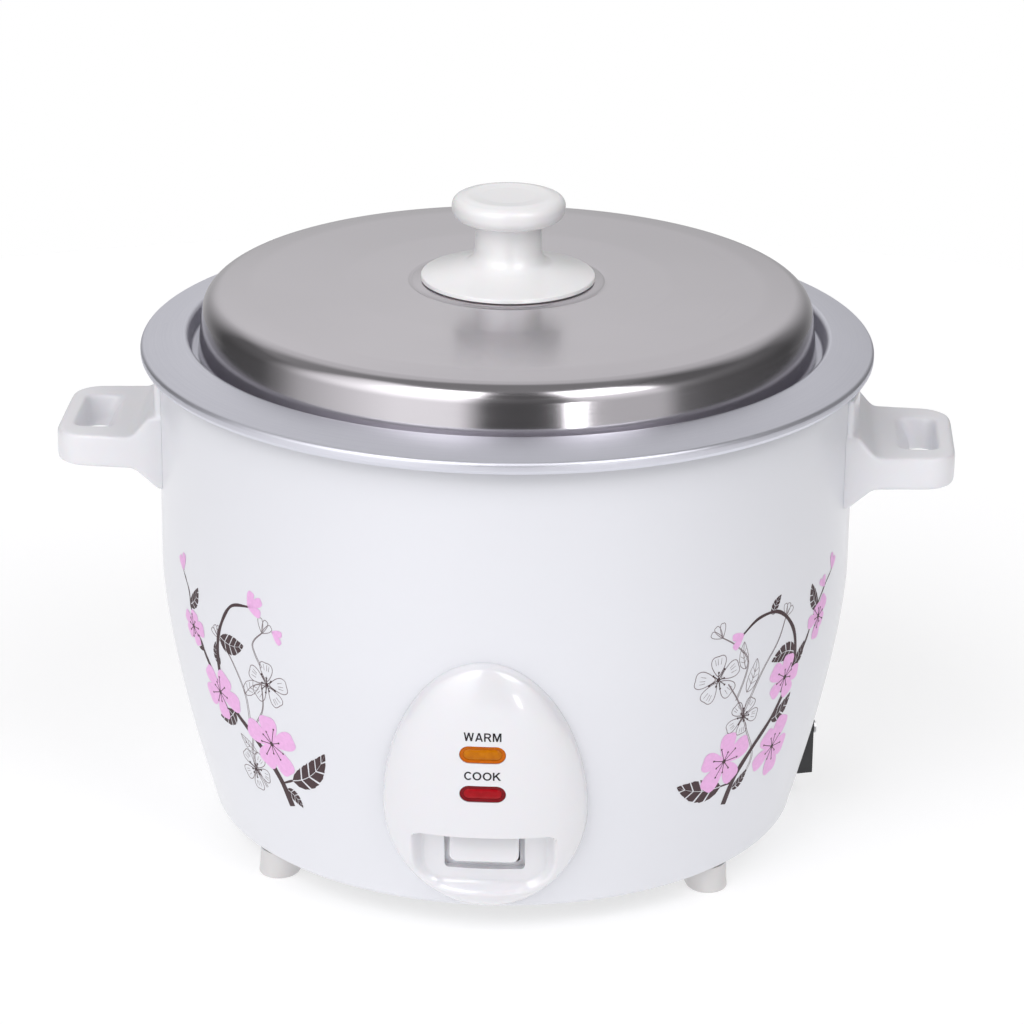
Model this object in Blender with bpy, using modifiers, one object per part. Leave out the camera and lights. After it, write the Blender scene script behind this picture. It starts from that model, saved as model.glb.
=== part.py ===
"""Drum rice cooker: painted shell with two handles, feet and a control panel, an inner heating
chamber, a lift-out pot with a lid, and the spring-loaded magnetic switch under the pot.

Frame: +Z up, the feet stand on Z = 0, the cooker's axis is the Z axis and the panel faces -Y.
Lengths are in metres; MM turns millimetres into metres.
"""

import math

import bmesh
import bpy
from mathutils import Matrix, Vector

MM = 0.001
SIDES = 36          # sides of the large turned pieces
SMALL_SIDES = 20    # and of the small ones
SCREW_SIDES = 10
GAP = 0.4 * MM      # clearance between neighbouring pieces

# Painted outer body
BODY_R = 128.5 * MM
BODY_TOP = 187.6 * MM
BODY_BOTTOM = 10.2 * MM
BODY_SKIN = 0.8 * MM
TAPER_START = 105.0 * MM    # height where the wall begins to draw in
TAPER_DEPTH = 18.7 * MM     # how far it draws in by TAPER_END
TAPER_END = 10.8 * MM
TAPER_POWER = 1.48
TOP_LEDGE_R = 122.0 * MM
BOTTOM_LIP_R = 103.0 * MM
BASE_PLATE_Z = 11.4 * MM
BASE_PLATE_THICK = 0.8 * MM
BASE_PLATE_R = 106.0 * MM

VENT_PITCH = 16.0 * MM
VENT_HALF_SIZE = (2.5 * MM, 22.0 * MM)
PANEL_WINDOW_X = 22.0 * MM
PANEL_WINDOW_Z = (25.0 * MM, 100.0 * MM)

# Feet
FOOT_X = 79.5 * MM
FOOT_Y = 66.0 * MM
FOOT_R = 7.7 * MM
FOOT_TOP = 9.8 * MM
FOOT_TOP_R = 10.0 * MM
FOOT_LEAN = 4.0 * MM          # how far its top sits nearer the cooker's axis than its sole
FOOT_SCREW_INSET = 7.0 * MM   # and how far its screw does

# Handles
HANDLE_REACH = 165.6 * MM
HANDLE_HALF_WIDTH = 30.0 * MM
HANDLE_TOP = 156.3 * MM
HANDLE_BOTTOM = 143.8 * MM
GUSSET_X = 135.5 * MM        # where the slab starts to spread toward the body
ROOT_LOW = 136.0 * MM
ROOT_HIGH = 164.0 * MM
PAD_THICK = 2.2 * MM         # the curved pad by which the handle sits on the body
PAD_HALF_WIDTH = 28.5 * MM
PAD_HIGH = 178.0 * MM
FINGER_X = (147.0 * MM, 159.0 * MM)
FINGER_HALF_LENGTH = 17.0 * MM
HANDLE_SCREW_Y = 20.0 * MM
HANDLE_SCREW_Z = 150.0 * MM

# Control panel
PANEL_HALF_WIDTH = 36.3 * MM
PANEL_CENTRE_Z = 53.5 * MM
PANEL_UP = 60.0 * MM
PANEL_DOWN = 41.5 * MM
PANEL_RIM = 1.2 * MM
PANEL_BULGE = 10.0 * MM
LENS_LENGTH = 16.3 * MM
LENS_HEIGHT = 6.9 * MM
LENS_Z = {"warm": 81.6 * MM, "cook": 65.5 * MM}
SLOT_HALF_WIDTH = 14.3 * MM
SLOT_Z = (29.0 * MM, 46.5 * MM)
COLLAR_HALF_WIDTH = 15.7 * MM     # wall round the slot, reaching in through the body's window
COLLAR_Z = (27.6 * MM, 47.8 * MM)
COLLAR_Y = (-121.5 * MM, -113.2 * MM)
SLOT_FLOOR = -0.6 * MM             # how far the slot's floor stands off the body's surface
SLOT_MOUTH_HALF_WIDTH = 12.95 * MM    # opening in the slot's floor that the button works through
SLOT_MOUTH_LOW = 30.8 * MM
SCOOP_HALF_WIDTH = 26.3 * MM
SCOOP_Z = (21.0 * MM, 46.6 * MM)
SCOOP_FLOOR = 2.4 * MM            # how far the recess floor stands off the body
BUTTON_HALF_WIDTH = 12.35 * MM
BUTTON_Z = (33.5 * MM, 46.1 * MM)
BUTTON_FRONT_Y = -121.8 * MM

# Mains inlet, on the side, turned toward the rear
INLET_ANGLE = math.radians(17)
INLET_FACE = 118.5 * MM
INLET_HALF_WIDTH = 20.0 * MM
INLET_LOW = 9.8 * MM
INLET_HIGH = 43.2 * MM
SOCKET_HALF_WIDTH = 14.0 * MM
SOCKET_HALF_HEIGHT = 10.0 * MM
SOCKET_Z = 28.0 * MM

# Heating chamber
LINER_SKIN = 0.8 * MM
LINER_FLOOR = 45.0 * MM
PLATE_R = 80.0 * MM
PLATE_Z = (56.0 * MM, 68.0 * MM)
PLATE_HOLE_R = 19.5 * MM
ELEMENT_R = 58.0 * MM
ELEMENT_TUBE_R = 3.8 * MM
ELEMENT_Z = 51.8 * MM
ELEMENT_ENDS = (math.radians(70), math.radians(110))
TERMINAL_TIP = Vector((0, 0, 35.4 * MM))
SUPPORT_R = 71.0 * MM

# Sensor and magnet
SENSOR_R = 18.5 * MM
GUIDE_R = 14.5 * MM
MAGNET_R = 12.4 * MM
MAGNET_Z = (49.0 * MM, 55.0 * MM)
FERRITE_Z = (60.0 * MM, 66.4 * MM)
ROD_R = 2.0 * MM
ROD_LOW = 39.0 * MM
WIRE_R = 1.2 * MM

# Switch lever
PIVOT_Y = -70.0 * MM
PIVOT_Z = 38.0 * MM
LEVER_HALF_WIDTH = 7.0 * MM
LEVER_THICK = 1.2 * MM
LEVER_FRONT_Y = -116.0 * MM
PIN_R = 2.0 * MM
PIN_HALF_LENGTH = 11.0 * MM

# Pot
POT_SKIN = 1.5 * MM
POT_FLANGE_R = 135.0 * MM
POT_FLOOR = 69.8 * MM
POT_WALL_R = 110.5 * MM
POT_WELL_R = 117.0 * MM
POT_WELL_FLOOR = 186.2 * MM

# Lid and knob
LID_SKIN = 0.8 * MM
LID_TOP = 211.8 * MM
LID_SHOULDER_R = 111.4 * MM     # where the crown's line and the wall's line would meet
LID_SHOULDER_ROUND = 8.0 * MM
LID_HEM_R = 113.8 * MM
KNOB_BASE_R = 32.2 * MM
KNOB_STEM_R = 12.2 * MM
KNOB_CAP_R = 20.8 * MM
KNOB_TOP = 243.8 * MM


# ---------------------------------------------------------------- scene and materials

def clear_scene():
    for old in list(bpy.data.objects):
        bpy.data.objects.remove(old, do_unlink=True)


def new_collection(name):
    collection = bpy.data.collections.new(name)
    bpy.context.scene.collection.children.link(collection)
    return collection


clear_scene()
PARTS = new_collection("rice_cooker")
CUTTERS = new_collection("cutters")

# Finish: base colour, roughness, metallic
FINISHES = {
    "white_enamel": ((0.79, 0.80, 0.83), 0.22, 0.0),
    "white_plastic": ((0.82, 0.82, 0.85), 0.30, 0.0),
    "black_plastic": ((0.02, 0.02, 0.022), 0.45, 0.0),
    "amber_lens": ((0.55, 0.17, 0.0), 0.15, 0.0),
    "red_lens": ((0.38, 0.015, 0.02), 0.15, 0.0),
    "lamp_glass": ((0.85, 0.80, 0.75), 0.1, 0.0),
    "polished_steel": ((0.62, 0.61, 0.61), 0.18, 1.0),
    "galvanised_steel": ((0.52, 0.53, 0.54), 0.4, 1.0),
    "spring_steel": ((0.42, 0.42, 0.43), 0.3, 1.0),
    "satin_aluminium": ((0.68, 0.68, 0.71), 0.32, 1.0),
    "cast_aluminium": ((0.56, 0.56, 0.57), 0.5, 1.0),
    "brass": ((0.70, 0.52, 0.24), 0.35, 1.0),
    "ferrite": ((0.09, 0.09, 0.10), 0.6, 0.2),
    "ceramic": ((0.86, 0.83, 0.76), 0.6, 0.0),
    "red_wire": ((0.5, 0.02, 0.02), 0.5, 0.0),
    "blue_wire": ((0.03, 0.08, 0.4), 0.5, 0.0),
}


def material(obj_name, finish):
    colour, roughness, metallic = FINISHES[finish]
    made = bpy.data.materials.new(f"{obj_name}_{finish}")
    made.use_nodes = True
    shader = made.node_tree.nodes["Principled BSDF"]
    shader.inputs["Base Color"].default_value = (*colour, 1.0)
    shader.inputs["Roughness"].default_value = roughness
    shader.inputs["Metallic"].default_value = metallic
    return made


def add_object(name, data, finish):
    """A part in the rice_cooker collection, or a cutter when it has no finish."""
    obj = bpy.data.objects.new(name, data)
    if finish:
        data.materials.append(material(name, finish))
        PARTS.objects.link(obj)
    else:
        obj.hide_render = True
        obj.display_type = "WIRE"
        CUTTERS.objects.link(obj)
    return obj


def mesh_from(name, bm):
    mesh = bpy.data.meshes.new(name)
    bm.to_mesh(mesh)
    bm.free()
    return mesh


# ---------------------------------------------------------------- shape helpers

def rounded(corners, arc_steps=3, closed=False):
    """Corners (across, up, fillet radius) as a line of points, with each fillet as an arc."""
    points = []
    count = len(corners)
    for index, (x, z, radius) in enumerate(corners):
        here = Vector((x, z))
        at_end = not closed and index in (0, count - 1)
        if radius == 0 or at_end:
            points.append(here)
            continue
        back = (Vector(corners[index - 1][:2]) - here).normalized()
        ahead = (Vector(corners[(index + 1) % count][:2]) - here).normalized()
        half = back.angle(ahead) / 2
        reach = radius / math.tan(half)
        centre = here + (back + ahead).normalized() * (radius / math.sin(half))
        start = here + back * reach - centre
        turn = start.angle_signed(here + ahead * reach - centre)
        for step in range(arc_steps + 1):
            points.append(centre + Matrix.Rotation(-turn * step / arc_steps, 2) @ start)
    return points


def turned(name, outline, finish, closed=False, sides=SIDES):
    """A solid turned about Z from an outline that runs down its outer side."""
    mesh = bpy.data.meshes.new(name)
    edges = [(i, i + 1) for i in range(len(outline) - 1)]
    if closed:
        edges.append((len(outline) - 1, 0))
    mesh.from_pydata([(x, 0, z) for x, z in outline], edges, [])
    obj = add_object(name, mesh, finish)
    turn = obj.modifiers.new("turn", "SCREW")
    turn.steps = sides
    turn.render_steps = sides
    turn.use_merge_vertices = True
    turn.merge_threshold = 0.00001
    turn.use_smooth_shade = True
    return obj


def turned_shell(name, outline, thickness, finish, side):
    """A sheet turned about Z, thickened inward (side -1) or outward (side 1)."""
    obj = turned(name, outline, finish)
    solidify = obj.modifiers.new("sheet", "SOLIDIFY")
    solidify.thickness = thickness
    solidify.offset = side
    solidify.use_even_offset = True
    return obj


def ring(name, inner_r, outer_r, low, high, finish):
    outline = [(outer_r, high), (outer_r, low), (inner_r, low), (inner_r, high)]
    return turned(name, outline, finish, closed=True, sides=SMALL_SIDES)


def screw(name, head_r, shank_r, head, seat, tip):
    """A screw along Z: its head stands from seat to head, its shank runs from seat to tip."""
    up = 1 if head > seat else -1
    outline = [
        (0, head),
        (head_r, head - up * 0.4 * MM),
        (head_r, seat),
        (shank_r, seat),
        (shank_r, tip),
        (0, tip),
    ]
    if up < 0:
        outline.reverse()
    return turned(name, [Vector(point) for point in outline], "spring_steel", sides=SCREW_SIDES)


def box(name, low, high, finish=None, rounding=0.0):
    """A box between two corner points, its origin at its centre."""
    low = Vector(low)
    high = Vector(high)
    bm = bmesh.new()
    bmesh.ops.create_cube(bm, size=1)
    bmesh.ops.scale(bm, vec=high - low, verts=bm.verts)
    obj = add_object(name, mesh_from(name, bm), finish)
    obj.location = (low + high) / 2
    if rounding:
        bevel = obj.modifiers.new("rounding", "BEVEL")
        bevel.width = rounding
        bevel.segments = 2
    return obj


def cylinder(name, radius, start, end, finish=None, sides=16):
    """A round bar between two points, its origin at its middle."""
    start = Vector(start)
    end = Vector(end)
    bm = bmesh.new()
    bmesh.ops.create_cone(
        bm, cap_ends=True, segments=sides, radius1=radius, radius2=radius, depth=(end - start).length
    )
    obj = add_object(name, mesh_from(name, bm), finish)
    obj.data.shade_smooth()
    obj.data.set_sharp_from_angle(angle=math.radians(40))
    obj.location = (start + end) / 2
    obj.rotation_euler = (end - start).to_track_quat("Z", "Y").to_euler()
    return obj


def tube(name, points, radius, finish):
    """A bent wire or tube through the points."""
    curve = bpy.data.curves.new(name, "CURVE")
    curve.dimensions = "3D"
    curve.bevel_depth = radius
    curve.bevel_resolution = 2
    curve.use_fill_caps = True
    spline = curve.splines.new("POLY")
    spline.points.add(len(points) - 1)
    for target, point in zip(spline.points, points):
        target.co = (*point, 1.0)
    return add_object(name, curve, finish)


def slab(name, outline, thickness, finish=None):
    """A flat outline in XY, extruded to both sides of Z = 0."""
    curve = bpy.data.curves.new(name, "CURVE")
    curve.dimensions = "2D"
    curve.fill_mode = "BOTH"
    curve.extrude = thickness / 2
    spline = curve.splines.new("POLY")
    spline.points.add(len(outline) - 1)
    for target, point in zip(spline.points, outline):
        target.co = (point[0], point[1], 0.0, 1.0)
    spline.use_cyclic_u = True
    source = bpy.data.objects.new(name, curve)
    CUTTERS.objects.link(source)
    bpy.context.view_layer.update()
    evaluated = source.evaluated_get(bpy.context.evaluated_depsgraph_get())
    mesh = bpy.data.meshes.new_from_object(evaluated)
    bpy.data.objects.remove(source)
    bm = bmesh.new()
    bm.from_mesh(mesh)
    bmesh.ops.remove_doubles(bm, verts=bm.verts, dist=0.00001)
    bpy.data.meshes.remove(mesh)
    return add_object(name, mesh_from(name, bm), finish)


def boolean(target, tool, operation="DIFFERENCE"):
    step = target.modifiers.new(f"{operation.lower()}_{tool.name}", "BOOLEAN")
    step.operation = operation
    step.solver = "EXACT"
    step.object = tool
    return step


def coil(name, radius, wire_r, low, high, turns, finish):
    """A round wire spring standing on Z."""
    per_turn = 9
    count = turns * per_turn
    rise = high - low - 2 * wire_r
    points = []
    for step in range(count + 1):
        angle = math.tau * step / per_turn
        height = low + wire_r + rise * step / count
        points.append((radius * math.cos(angle), radius * math.sin(angle), height))
    return tube(name, points, wire_r, finish)


# ---------------------------------------------------------------- shared surfaces

def body_radius(z):
    """Outer radius of the painted body: straight above TAPER_START, drawn in below it."""
    if z >= TAPER_START:
        return BODY_R
    return BODY_R - TAPER_DEPTH * ((TAPER_START - z) / (TAPER_START - TAPER_END)) ** TAPER_POWER


def body_side(grow=0.0, low=14.0 * MM, count=7):
    """Points down the tapered part of the body's side."""
    heights = [TAPER_START - (TAPER_START - low) * step / count for step in range(count + 1)]
    return [(body_radius(z) + grow, z, 0) for z in heights]


def body_blank(name, grow):
    """Cutter: the body as one solid, grown by a clearance."""
    top = BODY_TOP + 30 * MM
    outline = [(0, top, 0), (BODY_R + grow, top, 0), *body_side(grow)]
    outline += [(body_radius(TAPER_END) + grow, -5 * MM, 0), (0, -5 * MM, 0)]
    return turned(name, [Vector(corner[:2]) for corner in outline], None)


def panel_height(across, up):
    """How far the panel's face stands off the body at a point of the egg, 0 at its middle, 1 at its rim."""
    reach = min(1.0, across * across + up * up)
    return PANEL_RIM + (PANEL_BULGE - PANEL_RIM) * math.sqrt(1 - reach * reach)


def panel_face_y(x, z):
    span = PANEL_UP if z > PANEL_CENTRE_Z else PANEL_DOWN
    stand_off = panel_height(x / PANEL_HALF_WIDTH, (z - PANEL_CENTRE_Z) / span)
    return -math.sqrt(body_radius(z) ** 2 - x * x) - stand_off


def pocket_face_y(x, z):
    """The inner side of the panel's wall, behind the lenses."""
    return panel_face_y(x, z) + 2.2 * MM


# ---------------------------------------------------------------- body

def build_outer_body():
    bottom_r = body_radius(TAPER_END) + 0.6 * MM
    outline = [(TOP_LEDGE_R, BODY_TOP, 0), (BODY_R, BODY_TOP, 3 * MM), *body_side()]
    outline += [(bottom_r, BODY_BOTTOM, 2 * MM), (BOTTOM_LIP_R, BODY_BOTTOM, 0)]
    body = turned_shell("outer_body", rounded(outline, 2), BODY_SKIN, "white_enamel", -1)
    panel_low = (-PANEL_WINDOW_X, -140 * MM, PANEL_WINDOW_Z[0])
    boolean(body, box("panel_window", panel_low, (PANEL_WINDOW_X, -100 * MM, PANEL_WINDOW_Z[1])))
    window = box(
        "inlet_window",
        (95 * MM, -INLET_HALF_WIDTH - GAP, 12.2 * MM),
        (135 * MM, INLET_HALF_WIDTH + GAP, INLET_HIGH + GAP),
    )
    turn_to_inlet(window)
    boolean(body, window)
    for side in (-1, 1):
        for y in (-HANDLE_SCREW_Y, HANDLE_SCREW_Y):
            start = (side * 120 * MM, y, HANDLE_SCREW_Z)
            end = (side * 135 * MM, y, HANDLE_SCREW_Z)
            boolean(body, cylinder(f"skin_hole_{side}_{y:.3f}", 2.3 * MM, start, end, sides=8))


def build_base():
    outline = [
        (0, BASE_PLATE_Z + BASE_PLATE_THICK),
        (BASE_PLATE_R, BASE_PLATE_Z + BASE_PLATE_THICK),
        (BASE_PLATE_R, BASE_PLATE_Z),
        (0, BASE_PLATE_Z),
    ]
    plate = turned("base_plate", outline, "galvanised_steel")
    half_width, half_length = VENT_HALF_SIZE
    for row in range(-2, 3):
        x = row * VENT_PITCH
        low = (x - half_width, -half_length, 5 * MM)
        boolean(plate, box(f"vent_{row}", low, (x + half_width, half_length, 20 * MM)))
    for depth, y in (("front", -FOOT_Y), ("rear", FOOT_Y)):
        for side, x in (("left", -FOOT_X), ("right", FOOT_X)):
            build_foot(plate, f"{depth}_{side}", x, y)


def build_foot(plate, place, x, y):
    """A moulded foot whose inner side slopes toward the middle, and the screw that holds it from above."""
    bm = bmesh.new()
    bmesh.ops.create_cone(
        bm, cap_ends=True, segments=SMALL_SIDES, radius1=FOOT_R, radius2=FOOT_TOP_R, depth=FOOT_TOP
    )
    toward = Vector((-x, -y, 0)).normalized()
    for vert in bm.verts:
        if vert.co.z > 0:
            vert.co += toward * FOOT_LEAN
    foot = add_object(f"foot_{place}", mesh_from(f"foot_{place}", bm), "white_plastic")
    foot.location = (x, y, FOOT_TOP / 2)
    soften = foot.modifiers.new("soften", "BEVEL")
    soften.width = 0.8 * MM
    soften.segments = 2
    foot.data.shade_smooth()
    foot.data.set_sharp_from_angle(angle=math.radians(40))
    fixing = Vector((x, y, 0)) + toward * FOOT_SCREW_INSET
    low = fixing + Vector((0, 0, 4.5 * MM))
    hole = cylinder(f"foot_hole_{place}", 2.1 * MM, low, fixing + Vector((0, 0, 20 * MM)), sides=8)
    boolean(foot, hole)
    boolean(plate, hole)
    seat = BASE_PLATE_Z + BASE_PLATE_THICK + GAP
    screw(f"foot_screw_{place}", 3.2 * MM, 1.6 * MM, seat + 2 * MM, seat, 5 * MM).location = fixing


# ---------------------------------------------------------------- handles

def build_handles():
    for side, name in ((1, "right"), (-1, "left")):
        build_handle(side, name)


def build_handle(side, name):
    """A slab whose gussets run on to a curved pad: a side outline trimmed by the plan outline."""
    soft = 3.5 * MM
    side_outline = [
        (118 * MM, ROOT_LOW, 0),
        (GUSSET_X - 9 * MM, ROOT_LOW, 1 * MM),
        (GUSSET_X, HANDLE_BOTTOM, 5 * MM),
        (HANDLE_REACH, HANDLE_BOTTOM, soft),
        (HANDLE_REACH, HANDLE_TOP, soft),
        (GUSSET_X, HANDLE_TOP, 4 * MM),
        (GUSSET_X - 5.5 * MM, ROOT_HIGH, 3 * MM),
        (118 * MM, ROOT_HIGH + 1 * MM, 0),
    ]
    handle = slab(f"handle_{name}", rounded(side_outline, 3, True), 2 * HANDLE_HALF_WIDTH, "white_plastic")
    handle.rotation_euler = (math.radians(90), 0, 0)
    plan = [
        (110 * MM, -HANDLE_HALF_WIDTH - 2 * MM, 0),
        (GUSSET_X, -HANDLE_HALF_WIDTH, 0),
        (HANDLE_REACH, -HANDLE_HALF_WIDTH + 2 * MM, 12 * MM),
        (HANDLE_REACH, HANDLE_HALF_WIDTH - 2 * MM, 12 * MM),
        (GUSSET_X, HANDLE_HALF_WIDTH, 0),
        (110 * MM, HANDLE_HALF_WIDTH + 2 * MM, 0),
    ]
    trim = slab(f"handle_plan_{name}", rounded(plan, 4, True), 100 * MM)
    trim.location = (0, 0, 160 * MM)
    finger = [
        (FINGER_X[0], -FINGER_HALF_LENGTH, 4 * MM),
        (FINGER_X[1], -FINGER_HALF_LENGTH, 4 * MM),
        (FINGER_X[1], FINGER_HALF_LENGTH, 4 * MM),
        (FINGER_X[0], FINGER_HALF_LENGTH, 4 * MM),
    ]
    hole = slab(f"finger_hole_{name}", rounded(finger, 3, True), 60 * MM)
    hole.location = (0, 0, 150 * MM)
    pad = body_blank(f"handle_pad_{name}", PAD_THICK)
    pad_low = (100 * MM, -PAD_HALF_WIDTH, ROOT_LOW)
    pad_limits = box(f"handle_pad_limits_{name}", pad_low, (140 * MM, PAD_HALF_WIDTH, PAD_HIGH))
    boolean(pad, pad_limits, "INTERSECT")
    boolean(handle, trim, "INTERSECT")
    boolean(handle, pad, "UNION")
    boolean(handle, hole)
    boolean(handle, body_blank(f"body_behind_handle_{name}", GAP))
    if side < 0:
        for piece in (trim, hole, handle):
            piece.rotation_euler.z = math.pi
        pad_limits.location.x *= -1
    for place, y in (("front", -HANDLE_SCREW_Y), ("rear", HANDLE_SCREW_Y)):
        build_handle_screw(handle, f"{name}_{place}", side, y)


def build_handle_screw(handle, place, side, y):
    """Held from inside the body: the head bears on the skin, the shank ends in a blind hole."""
    start = (side * 124 * MM, y, HANDLE_SCREW_Z)
    end = (side * 131 * MM, y, HANDLE_SCREW_Z)
    boolean(handle, cylinder(f"handle_hole_{place}", 2.1 * MM, start, end, sides=8))
    fixing = screw(f"handle_screw_{place}", 3.2 * MM, 1.6 * MM, 122.8 * MM, 124.8 * MM, 130.6 * MM)
    fixing.rotation_euler = (0, side * math.radians(90), 0)
    fixing.location = (0, y, HANDLE_SCREW_Z)


# ---------------------------------------------------------------- control panel

def egg(name, half_width, centre_z, spans, face, back_y, finish=None):
    """A solid with an egg outline, its front on face(x, z) and its back flat at back_y."""
    bm = bmesh.new()
    bmesh.ops.create_uvsphere(bm, u_segments=32, v_segments=14, radius=1)
    for vert in bm.verts:
        across, up, out = vert.co
        x = across * half_width
        z = centre_z + up * (spans[0] if up > 0 else spans[1])
        vert.co = (x, face(x, z) if out > -0.01 else back_y, z)
    return add_object(name, mesh_from(name, bm), finish)


def build_panel():
    spans = (PANEL_UP, PANEL_DOWN)
    back_y = -90 * MM
    bezel = egg("panel_bezel", PANEL_HALF_WIDTH, PANEL_CENTRE_Z, spans, panel_face_y, back_y, "white_plastic")
    boolean(bezel, body_blank("body_behind_panel", GAP))
    pocket = egg("panel_pocket", 21 * MM, 76 * MM, (23 * MM, 21 * MM), pocket_face_y, -100 * MM)
    boolean(bezel, pocket)
    build_slot(bezel)
    for name, z in LENS_Z.items():
        build_light(bezel, name, z)


def finger_scoop():
    """Recess round the button; its floor follows the body."""
    x = SCOOP_HALF_WIDTH
    low, high = SCOOP_Z
    outline = [(-x, high, 5 * MM), (-x, low, 11 * MM), (x, low, 11 * MM), (x, high, 5 * MM)]
    scoop = slab("finger_scoop", rounded(outline, 3, True), 60 * MM)
    scoop.rotation_euler = (math.radians(90), 0, 0)
    scoop.location = (0, -130 * MM, 0)
    boolean(scoop, body_blank("scoop_floor", SCOOP_FLOOR))
    return scoop


def build_slot(bezel):
    """The recess, and in it the button's slot: a well with a floor, and an opening in the floor."""
    width = COLLAR_HALF_WIDTH
    low, high = COLLAR_Z
    boolean(bezel, box("slot_collar", (-width, COLLAR_Y[0], low), (width, COLLAR_Y[1], high)), "UNION")
    boolean(bezel, finger_scoop())
    width = SLOT_HALF_WIDTH
    low, high = SLOT_Z
    well = box("slot_well", (-width, -140 * MM, low), (width, -100 * MM, high))
    boolean(well, body_blank("slot_floor", SLOT_FLOOR))
    boolean(bezel, well)
    width = SLOT_MOUTH_HALF_WIDTH
    boolean(bezel, box("slot_mouth", (-width, -130 * MM, SLOT_MOUTH_LOW), (width, -100 * MM, high)))


def obround(name, length, height, depth, finish=None):
    radius = height / 2
    outline = [
        (-length / 2, -radius, radius * 0.99),
        (length / 2, -radius, radius * 0.99),
        (length / 2, radius, radius * 0.99),
        (-length / 2, radius, radius * 0.99),
    ]
    made = slab(name, rounded(outline, 5, True), depth, finish)
    made.rotation_euler = (math.radians(90), 0, 0)
    return made


def build_light(bezel, name, z):
    """An obround lens let into the panel, with a small neon lamp lying behind it."""
    face = panel_face_y(0, z)
    hole = obround(f"{name}_lens_hole", LENS_LENGTH + 2 * GAP, LENS_HEIGHT + 2 * GAP, 20 * MM)
    hole.location = (0, face, z)
    boolean(bezel, hole)
    finish = "amber_lens" if name == "warm" else "red_lens"
    lens = obround(f"{name}_lens", LENS_LENGTH, LENS_HEIGHT, 4 * MM, finish)
    lens.location = (0, face + 1.6 * MM, z)
    lamp_y = face + 8 * MM
    cylinder(f"{name}_lamp", 2.5 * MM, (-7 * MM, lamp_y, z), (7 * MM, lamp_y, z), "lamp_glass", 10)


# ---------------------------------------------------------------- mains inlet

def turn_to_inlet(obj):
    """Swing a piece built facing +X round to the inlet's place."""
    turn = Matrix.Rotation(INLET_ANGLE, 4, "Z")
    tilt = obj.rotation_euler.to_matrix().to_4x4()
    obj.matrix_world = turn @ Matrix.Translation(obj.location) @ tilt


def build_inlet():
    width = INLET_HALF_WIDTH
    housing_low = (104 * MM, -width, 12.7 * MM)
    housing = box("inlet_housing", housing_low, (INLET_FACE, width, INLET_HIGH), "black_plastic")
    apron = box("inlet_apron", (111 * MM, -width, INLET_LOW), (INLET_FACE, width, 20 * MM))
    back = box("inlet_back", (97 * MM, 4 * MM - width, 14 * MM), (108 * MM, width - 4 * MM, 42 * MM))
    socket = box(
        "inlet_socket",
        (100 * MM, -SOCKET_HALF_WIDTH, SOCKET_Z - SOCKET_HALF_HEIGHT),
        (130 * MM, SOCKET_HALF_WIDTH, SOCKET_Z + SOCKET_HALF_HEIGHT),
    )
    for piece in (housing, apron, back, socket):
        turn_to_inlet(piece)
    boolean(housing, apron, "UNION")
    boolean(housing, back, "UNION")
    boolean(housing, socket)
    for name, y, z in (("live", 5, 2.5), ("neutral", -5, 2.5), ("earth", 0, -2.5)):
        build_pin(housing, name, y * MM, SOCKET_Z + z * MM)
    for name, y in (("front", -17 * MM), ("rear", 17 * MM)):
        build_inlet_screw(housing, name, y)


def build_pin(housing, name, y, z):
    """A flat blade through the back of the socket, with its tail as the wire terminal."""
    centre = Vector((0, y, z))
    half = Vector((0, 1.0 * MM, 2.0 * MM))
    room = half + Vector((0, GAP, GAP))
    start = Vector((90 * MM, 0, 0))
    hole = box(f"{name}_pin_hole", start + centre - room, Vector((103 * MM, 0, 0)) + centre + room)
    turn_to_inlet(hole)
    boolean(housing, hole)
    pin = box(f"inlet_pin_{name}", start + centre - half, Vector((113 * MM, 0, 0)) + centre + half, "brass")
    turn_to_inlet(pin)


def build_inlet_screw(housing, name, y):
    start = (105 * MM, y, SOCKET_Z)
    hole = cylinder(f"inlet_screw_hole_{name}", 1.8 * MM, start, (125 * MM, y, SOCKET_Z), sides=8)
    turn_to_inlet(hole)
    boolean(housing, hole)
    seat = INLET_FACE + GAP
    fixing = screw(f"inlet_screw_{name}", 2.6 * MM, 1.4 * MM, seat + 1.2 * MM, seat, 107 * MM)
    fixing.rotation_euler = (0, math.radians(90), 0)
    fixing.location = (0, y, SOCKET_Z)
    turn_to_inlet(fixing)


# ---------------------------------------------------------------- heating chamber

def build_liner():
    outline = [
        (124 * MM, 186.3 * MM, 0),
        (120.2 * MM, 186.3 * MM, 0.8 * MM),
        (115.5 * MM, LINER_FLOOR, 12 * MM),
        (22 * MM, LINER_FLOOR, 0),
    ]
    liner = turned_shell("inner_liner", rounded(outline, 3), LINER_SKIN, "galvanised_steel", 1)
    for index, angle in enumerate(ELEMENT_ENDS):
        x = ELEMENT_R * math.cos(angle)
        y = ELEMENT_R * math.sin(angle)
        boolean(liner, cylinder(f"terminal_hole_{index}", 6 * MM, (x, y, 40 * MM), (x, y, 50 * MM), sides=12))


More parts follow.
